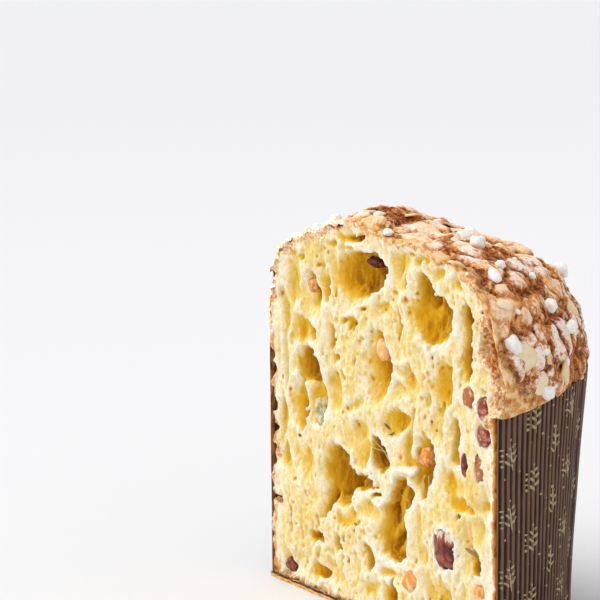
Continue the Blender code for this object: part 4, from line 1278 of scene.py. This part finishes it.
class LOAF_OT_peel(bpy.types.Operator):
    """Makes the candied orange peel and the citron"""

    bl_idname = "loaf.peel"
    bl_label = "Candied peel"

    def execute(self, context):
        for first, entries, rough, material, slot in ((31.0, PEEL, 0.2, peel_material(), "peel"),
                                                      (77.0, CITRON, 0.15, citron_material(), "citron")):
            for number, entry in enumerate(entries):
                made = bmesh.new()
                tint = made.verts.layers.float.new("tint")
                seed = first + 4.3 * number
                for vert in fruit_shape(made, entry, seed, rough, 2.7):
                    vert.co *= 1.0 + 0.002 * noise.noise(vert.co / 1.6)
                    vert.co.y = pressed(vert.co.y)
                    vert[tint] = TINT[entry[0]]
                finish_piece(entry[0], made, material, slot, entry[0])
        return {'FINISHED'}


class LOAF_OT_bits(bpy.types.Operator):
    """Adds the seeds and scraps in the crumb, and the thin threads across its bubbles"""

    bl_idname = "loaf.bits"
    bl_label = "Seeds and threads"

    def execute(self, context):
        made = bmesh.new()
        tint = made.verts.layers.float.new("tint")
        for number, (x, z, behind, wide, tall, lean, orange) in enumerate(BITS):
            turn = Matrix.Rotation(math.radians(-lean), 3, 'Y')
            for vert in bmesh.ops.create_icosphere(made, subdivisions=2, radius=1.0)["verts"]:
                swell = 1 + 0.5 * noise.noise(vert.co * 1.3 + Vector((number * 2.7, 0, 0)))
                at = Vector((vert.co.x * wide, vert.co.y * 0.8, vert.co.z * tall)) * swell * 0.85
                vert.co = Vector((x, behind, z)) + turn @ at
                vert[tint] = orange
        finish_piece("seeds", made, bit_material(), "bread", "loaf")

        made = bmesh.new()
        tone = made.verts.layers.float.new("tone")
        draw = random.Random(3)
        for one, two in THREADS:
            one, two = Vector(one), Vector(two)
            way = two - one
            thick = draw.uniform(0.1, 0.2)
            old = set(made.verts)
            ring = bmesh.ops.create_circle(made, segments=6, radius=thick)["verts"]
            edges = list({e for v in ring for e in v.link_edges})
            bmesh.ops.spin(made, geom=ring + edges, cent=(0, 0, 0), axis=(0, 0, 1),
                           dvec=(0, 0, way.length / 8), angle=0, steps=8)
            turn = way.to_track_quat('Z', 'Y').to_matrix()
            for vert in [v for v in made.verts if v not in old]:
                part = vert.co.z / way.length
                swing = (1.2 * math.sin(3 * part + way.x), 1.5 * math.sin(4 * part))
                sag = Vector((*swing, -6 * part * (1 - part))) * min(way.length / 14, 1)
                vert.co = one + turn @ vert.co + sag
                vert[tone] = 0.25
        finish_piece("crumb_threads", made, crumb_material(), "bread", "loaf")
        return {'FINISHED'}


def pleated(bearing, pleats, depth):
    """How far a pleat stands out at a bearing: broad ridges with narrow valleys between them."""
    fall = 0.5 - 0.5 * math.cos(2 * math.pi * pleats * bearing / 180.0)
    return depth * (0.5 - fall ** 1.1)


def wall_sheet(pleats, depth, thick):
    """The pleated wall with its glued overlap, and the places, the painted shading of its pleats and seam, and
    the bare side that its paper shows.
    """
    columns, rows = pleats * 8, 24
    made = bmesh.new()
    bmesh.ops.create_grid(made, x_segments=columns, y_segments=rows, size=0.5)
    wrap = made.loops.layers.uv.new("wrap")
    ridge = made.verts.layers.float.new("ridge")
    bare = made.verts.layers.float.new("bare")
    # the wall's average radius, for the pattern's length, and how far above the ground the paper starts
    middle, foot = CASE_HALF * 1.06, 0.6
    marks = {}
    for vert in made.verts:
        bearing, part = 180.0 * (vert.co.x + 0.5), vert.co.y + 0.5
        turn = math.radians(bearing)
        z = foot + (rim(bearing) + 1.0 - foot) * part
        varied = 1 + 0.25 * noise.noise(Vector((bearing / 5, z / 30, 2)))
        # the glued overlap: the front sheet ends in a gap painted dark as its shadow, and the back one narrows
        # to the foot
        past = bearing - SEAM - 0.5 * noise.noise(Vector((0, 0, z / 9)))
        gap = clamp((past - 0.2) / 0.4) * clamp((5.2 - past) / 0.8)
        wave = pleated(bearing, pleats, depth * varied) * (1 - gap)
        around = Vector((math.cos(turn) * 3, math.sin(turn) * 3, z / 25))
        r = CASE_HALF + wave + 0.25 * noise.noise(around)
        # it draws in towards the foot at its right side
        low = 1 - z / CASE_HEIGHT
        side = clamp((bearing - 5) / 35) * clamp(1 - (bearing - 70) / 60)
        r -= (5.8 * low - 3.3 * low * low - 0.9) * side * side * (3 - 2 * side) + 0.5 * gap
        if past < 0:
            r += 0.3 * math.exp(past / 4)
        marks[vert] = (turn * middle * MM, z * MM)
        # painted shade: valleys darker than ridges, and a dark band of shadow painted in the seam's gap
        vert[ridge] = 0.45 + wave / depth - gap * (0.35 + 1.6 * math.exp(-max(past - 0.4, 0) / 1.5))
        vert[bare] = 0.0
        vert.co = Vector((r * math.cos(turn), r * math.sin(turn) * stretch(z), z))
        vert.co.y = max(vert.co.y, 0.05)
    for face in made.faces:
        for loop in face.loops:
            loop[wrap].uv = marks[loop.vert]
    bmesh.ops.recalc_face_normals(made, faces=made.faces)
    one = made.faces[:][0]
    if one.normal.dot(one.calc_center_median()) < 0:
        bmesh.ops.reverse_faces(made, faces=made.faces)
    outer = set(made.faces)
    bmesh.ops.solidify(made, geom=list(outer), thickness=thick)
    for face in set(made.faces) - outer:
        for vert in face.verts:
            if not any(other in outer for other in vert.link_faces):
                vert[bare] = 1.0
    return made


def base_sheets():
    """The two layers of the base, with a frayed edge along the cut."""
    made = bmesh.new()
    for low in (0.0, 0.58 * BASE_PAPER):
        disc = bmesh.ops.create_circle(made, cap_ends=True, segments=240, radius=CASE_HALF - 0.7)
        for vert in disc["verts"]:
            vert.co = Vector((vert.co.x, vert.co.y * float(stretch(0)), low))
    # the cut itself, then a line behind which the layers lie flat
    cut = 0.05
    for y, away, cleared in ((cut, -1, True), (3.0, 1, False)):
        parts = made.verts[:] + made.edges[:] + made.faces[:]
        bmesh.ops.bisect_plane(made, geom=parts, plane_co=(0, y, 0), plane_no=(0, away, 0),
                               clear_outer=cleared)
    front = [edge for edge in made.edges if all(abs(vert.co.y - cut) < 0.01 for vert in edge.verts)]
    bmesh.ops.subdivide_edges(made, edges=front, cuts=170)
    lifted = bmesh.ops.extrude_face_region(made, geom=made.faces[:])["geom"]
    tops = {part for part in lifted if isinstance(part, bmesh.types.BMVert)}
    for vert in tops:
        vert.co.z += 0.42 * BASE_PAPER
    # the cut edge is frayed: the lower layer is squashed thick, and the upper one lifts off it
    for vert in made.verts:
        if vert.co.y < cut + 0.01:
            upper = vert.co.z > 0.5 * BASE_PAPER
            at = Vector((vert.co.x / 9, 3 + 4 * upper, 1))
            wave = noise.noise(at) + 0.5 * noise.noise(at * 5)
            vert.co.y -= 1.7 + 1.1 * wave
            if upper:
                vert.co.z += 1.75 + 0.7 * noise.noise(at * 2.2 + Vector((0, 0, 5)))
            elif vert in tops:
                vert.co.z += 1.3 + 0.5 * wave
            else:
                vert.co.z = max(0.5 * noise.noise(at * 3), 0.0)
    bmesh.ops.recalc_face_normals(made, faces=made.faces)
    return made


class LOAF_OT_case(bpy.types.Operator):
    """Makes the pleated case, its glued seam and its base"""

    bl_idname = "loaf.case"
    bl_label = "Paper case"

    def execute(self, context):
        sizes = context.scene.loaf
        wall = wall_sheet(sizes.pleats, sizes.pleat_depth / MM, sizes.paper / MM)
        finish_piece("case_wall", wall, paper_material(), "case_paper", "paper_wall", sharp=50)
        finish_piece("case_base", base_sheets(), base_material(), "case_base", "paper_base", sharp=30)
        return {'FINISHED'}


class LOAF_OT_stage(bpy.types.Operator):
    """Sets the pale floor, the soft light and the camera"""

    bl_idname = "loaf.stage"
    bl_label = "Stage"

    def execute(self, context):
        made = bmesh.new()
        bmesh.ops.create_grid(made, x_segments=1, y_segments=1, size=6.0)
        floor = bpy.data.meshes.new("ground")
        made.to_mesh(floor)
        made.free()
        ground = bpy.data.objects.new("ground", floor)
        context.scene.collection.objects.link(ground)
        floor.materials.append(card_material())

        # pale daylight from all round, and a broad soft light from the upper left
        world = bpy.data.worlds.new("daylight")
        world.use_nodes = True
        daylight = world.node_tree.nodes["Background"]
        daylight.inputs["Color"].default_value = colour("#F7F7F8")
        daylight.inputs["Strength"].default_value = 0.82
        context.scene.world = world
        window = bpy.data.lights.new("window", 'SUN')
        window.energy = 2.3
        window.angle = math.radians(70)
        lamp = bpy.data.objects.new("window", window)
        lamp.rotation_euler = Vector((-0.5, -0.55, 0.85)).to_track_quat('Z', 'Y').to_euler()
        context.scene.collection.objects.link(lamp)

        turn, climb = math.radians(CAMERA_TURN), math.radians(CAMERA_CLIMB)
        along = math.cos(climb)
        back = Vector((math.sin(turn) * along, -math.cos(turn) * along, math.sin(climb)))
        lens = bpy.data.cameras.new("camera")
        lens.sensor_fit = 'HORIZONTAL'
        lens.sensor_width = SENSOR
        lens.lens = FOCAL_PIXELS * SENSOR / FRAME_PIXELS
        lens.clip_end = 50
        camera = bpy.data.objects.new("camera", lens)
        level = back.to_track_quat('Z', 'Y').to_matrix()
        leaning = level @ Matrix.Rotation(math.radians(CAMERA_LEAN), 3, 'Z')
        place = FOOT + (CAMERA_AIM + back * CAMERA_FAR) * MM
        camera.matrix_world = Matrix.Translation(place) @ leaning.to_4x4()
        context.scene.collection.objects.link(camera)
        context.scene.camera = camera
        context.scene.view_settings.view_transform = 'Standard'
        return {'FINISHED'}


class LOAF_PT_panel(bpy.types.Panel):
    """Lists a button for each step that makes the loaf"""

    bl_label = "Half loaf"
    bl_idname = "LOAF_PT_panel"
    bl_space_type = 'VIEW_3D'
    bl_region_type = 'UI'
    bl_category = "Loaf"

    def draw(self, context):
        for step in STEPS:
            self.layout.operator(step.bl_idname)


STEPS = (LOAF_OT_crumb, LOAF_OT_crust, LOAF_OT_almonds, LOAF_OT_sugar, LOAF_OT_raisins, LOAF_OT_peel,
         LOAF_OT_bits, LOAF_OT_case, LOAF_OT_stage)
CLASSES = (LoafSettings, LoafColours, *STEPS, LOAF_PT_panel)


def register():
    for part in CLASSES:
        bpy.utils.register_class(part)
    bpy.types.Scene.loaf = PointerProperty(type=LoafSettings)
    bpy.types.Scene.loaf_colours = PointerProperty(type=LoafColours)


def unregister():
    del bpy.types.Scene.loaf, bpy.types.Scene.loaf_colours
    for part in reversed(CLASSES):
        bpy.utils.unregister_class(part)


def main():
    """Makes every piece in order."""
    register()
    for step in STEPS:
        getattr(bpy.ops.loaf, step.bl_idname.split(".")[1])()


if __name__ == "__main__":
    main()
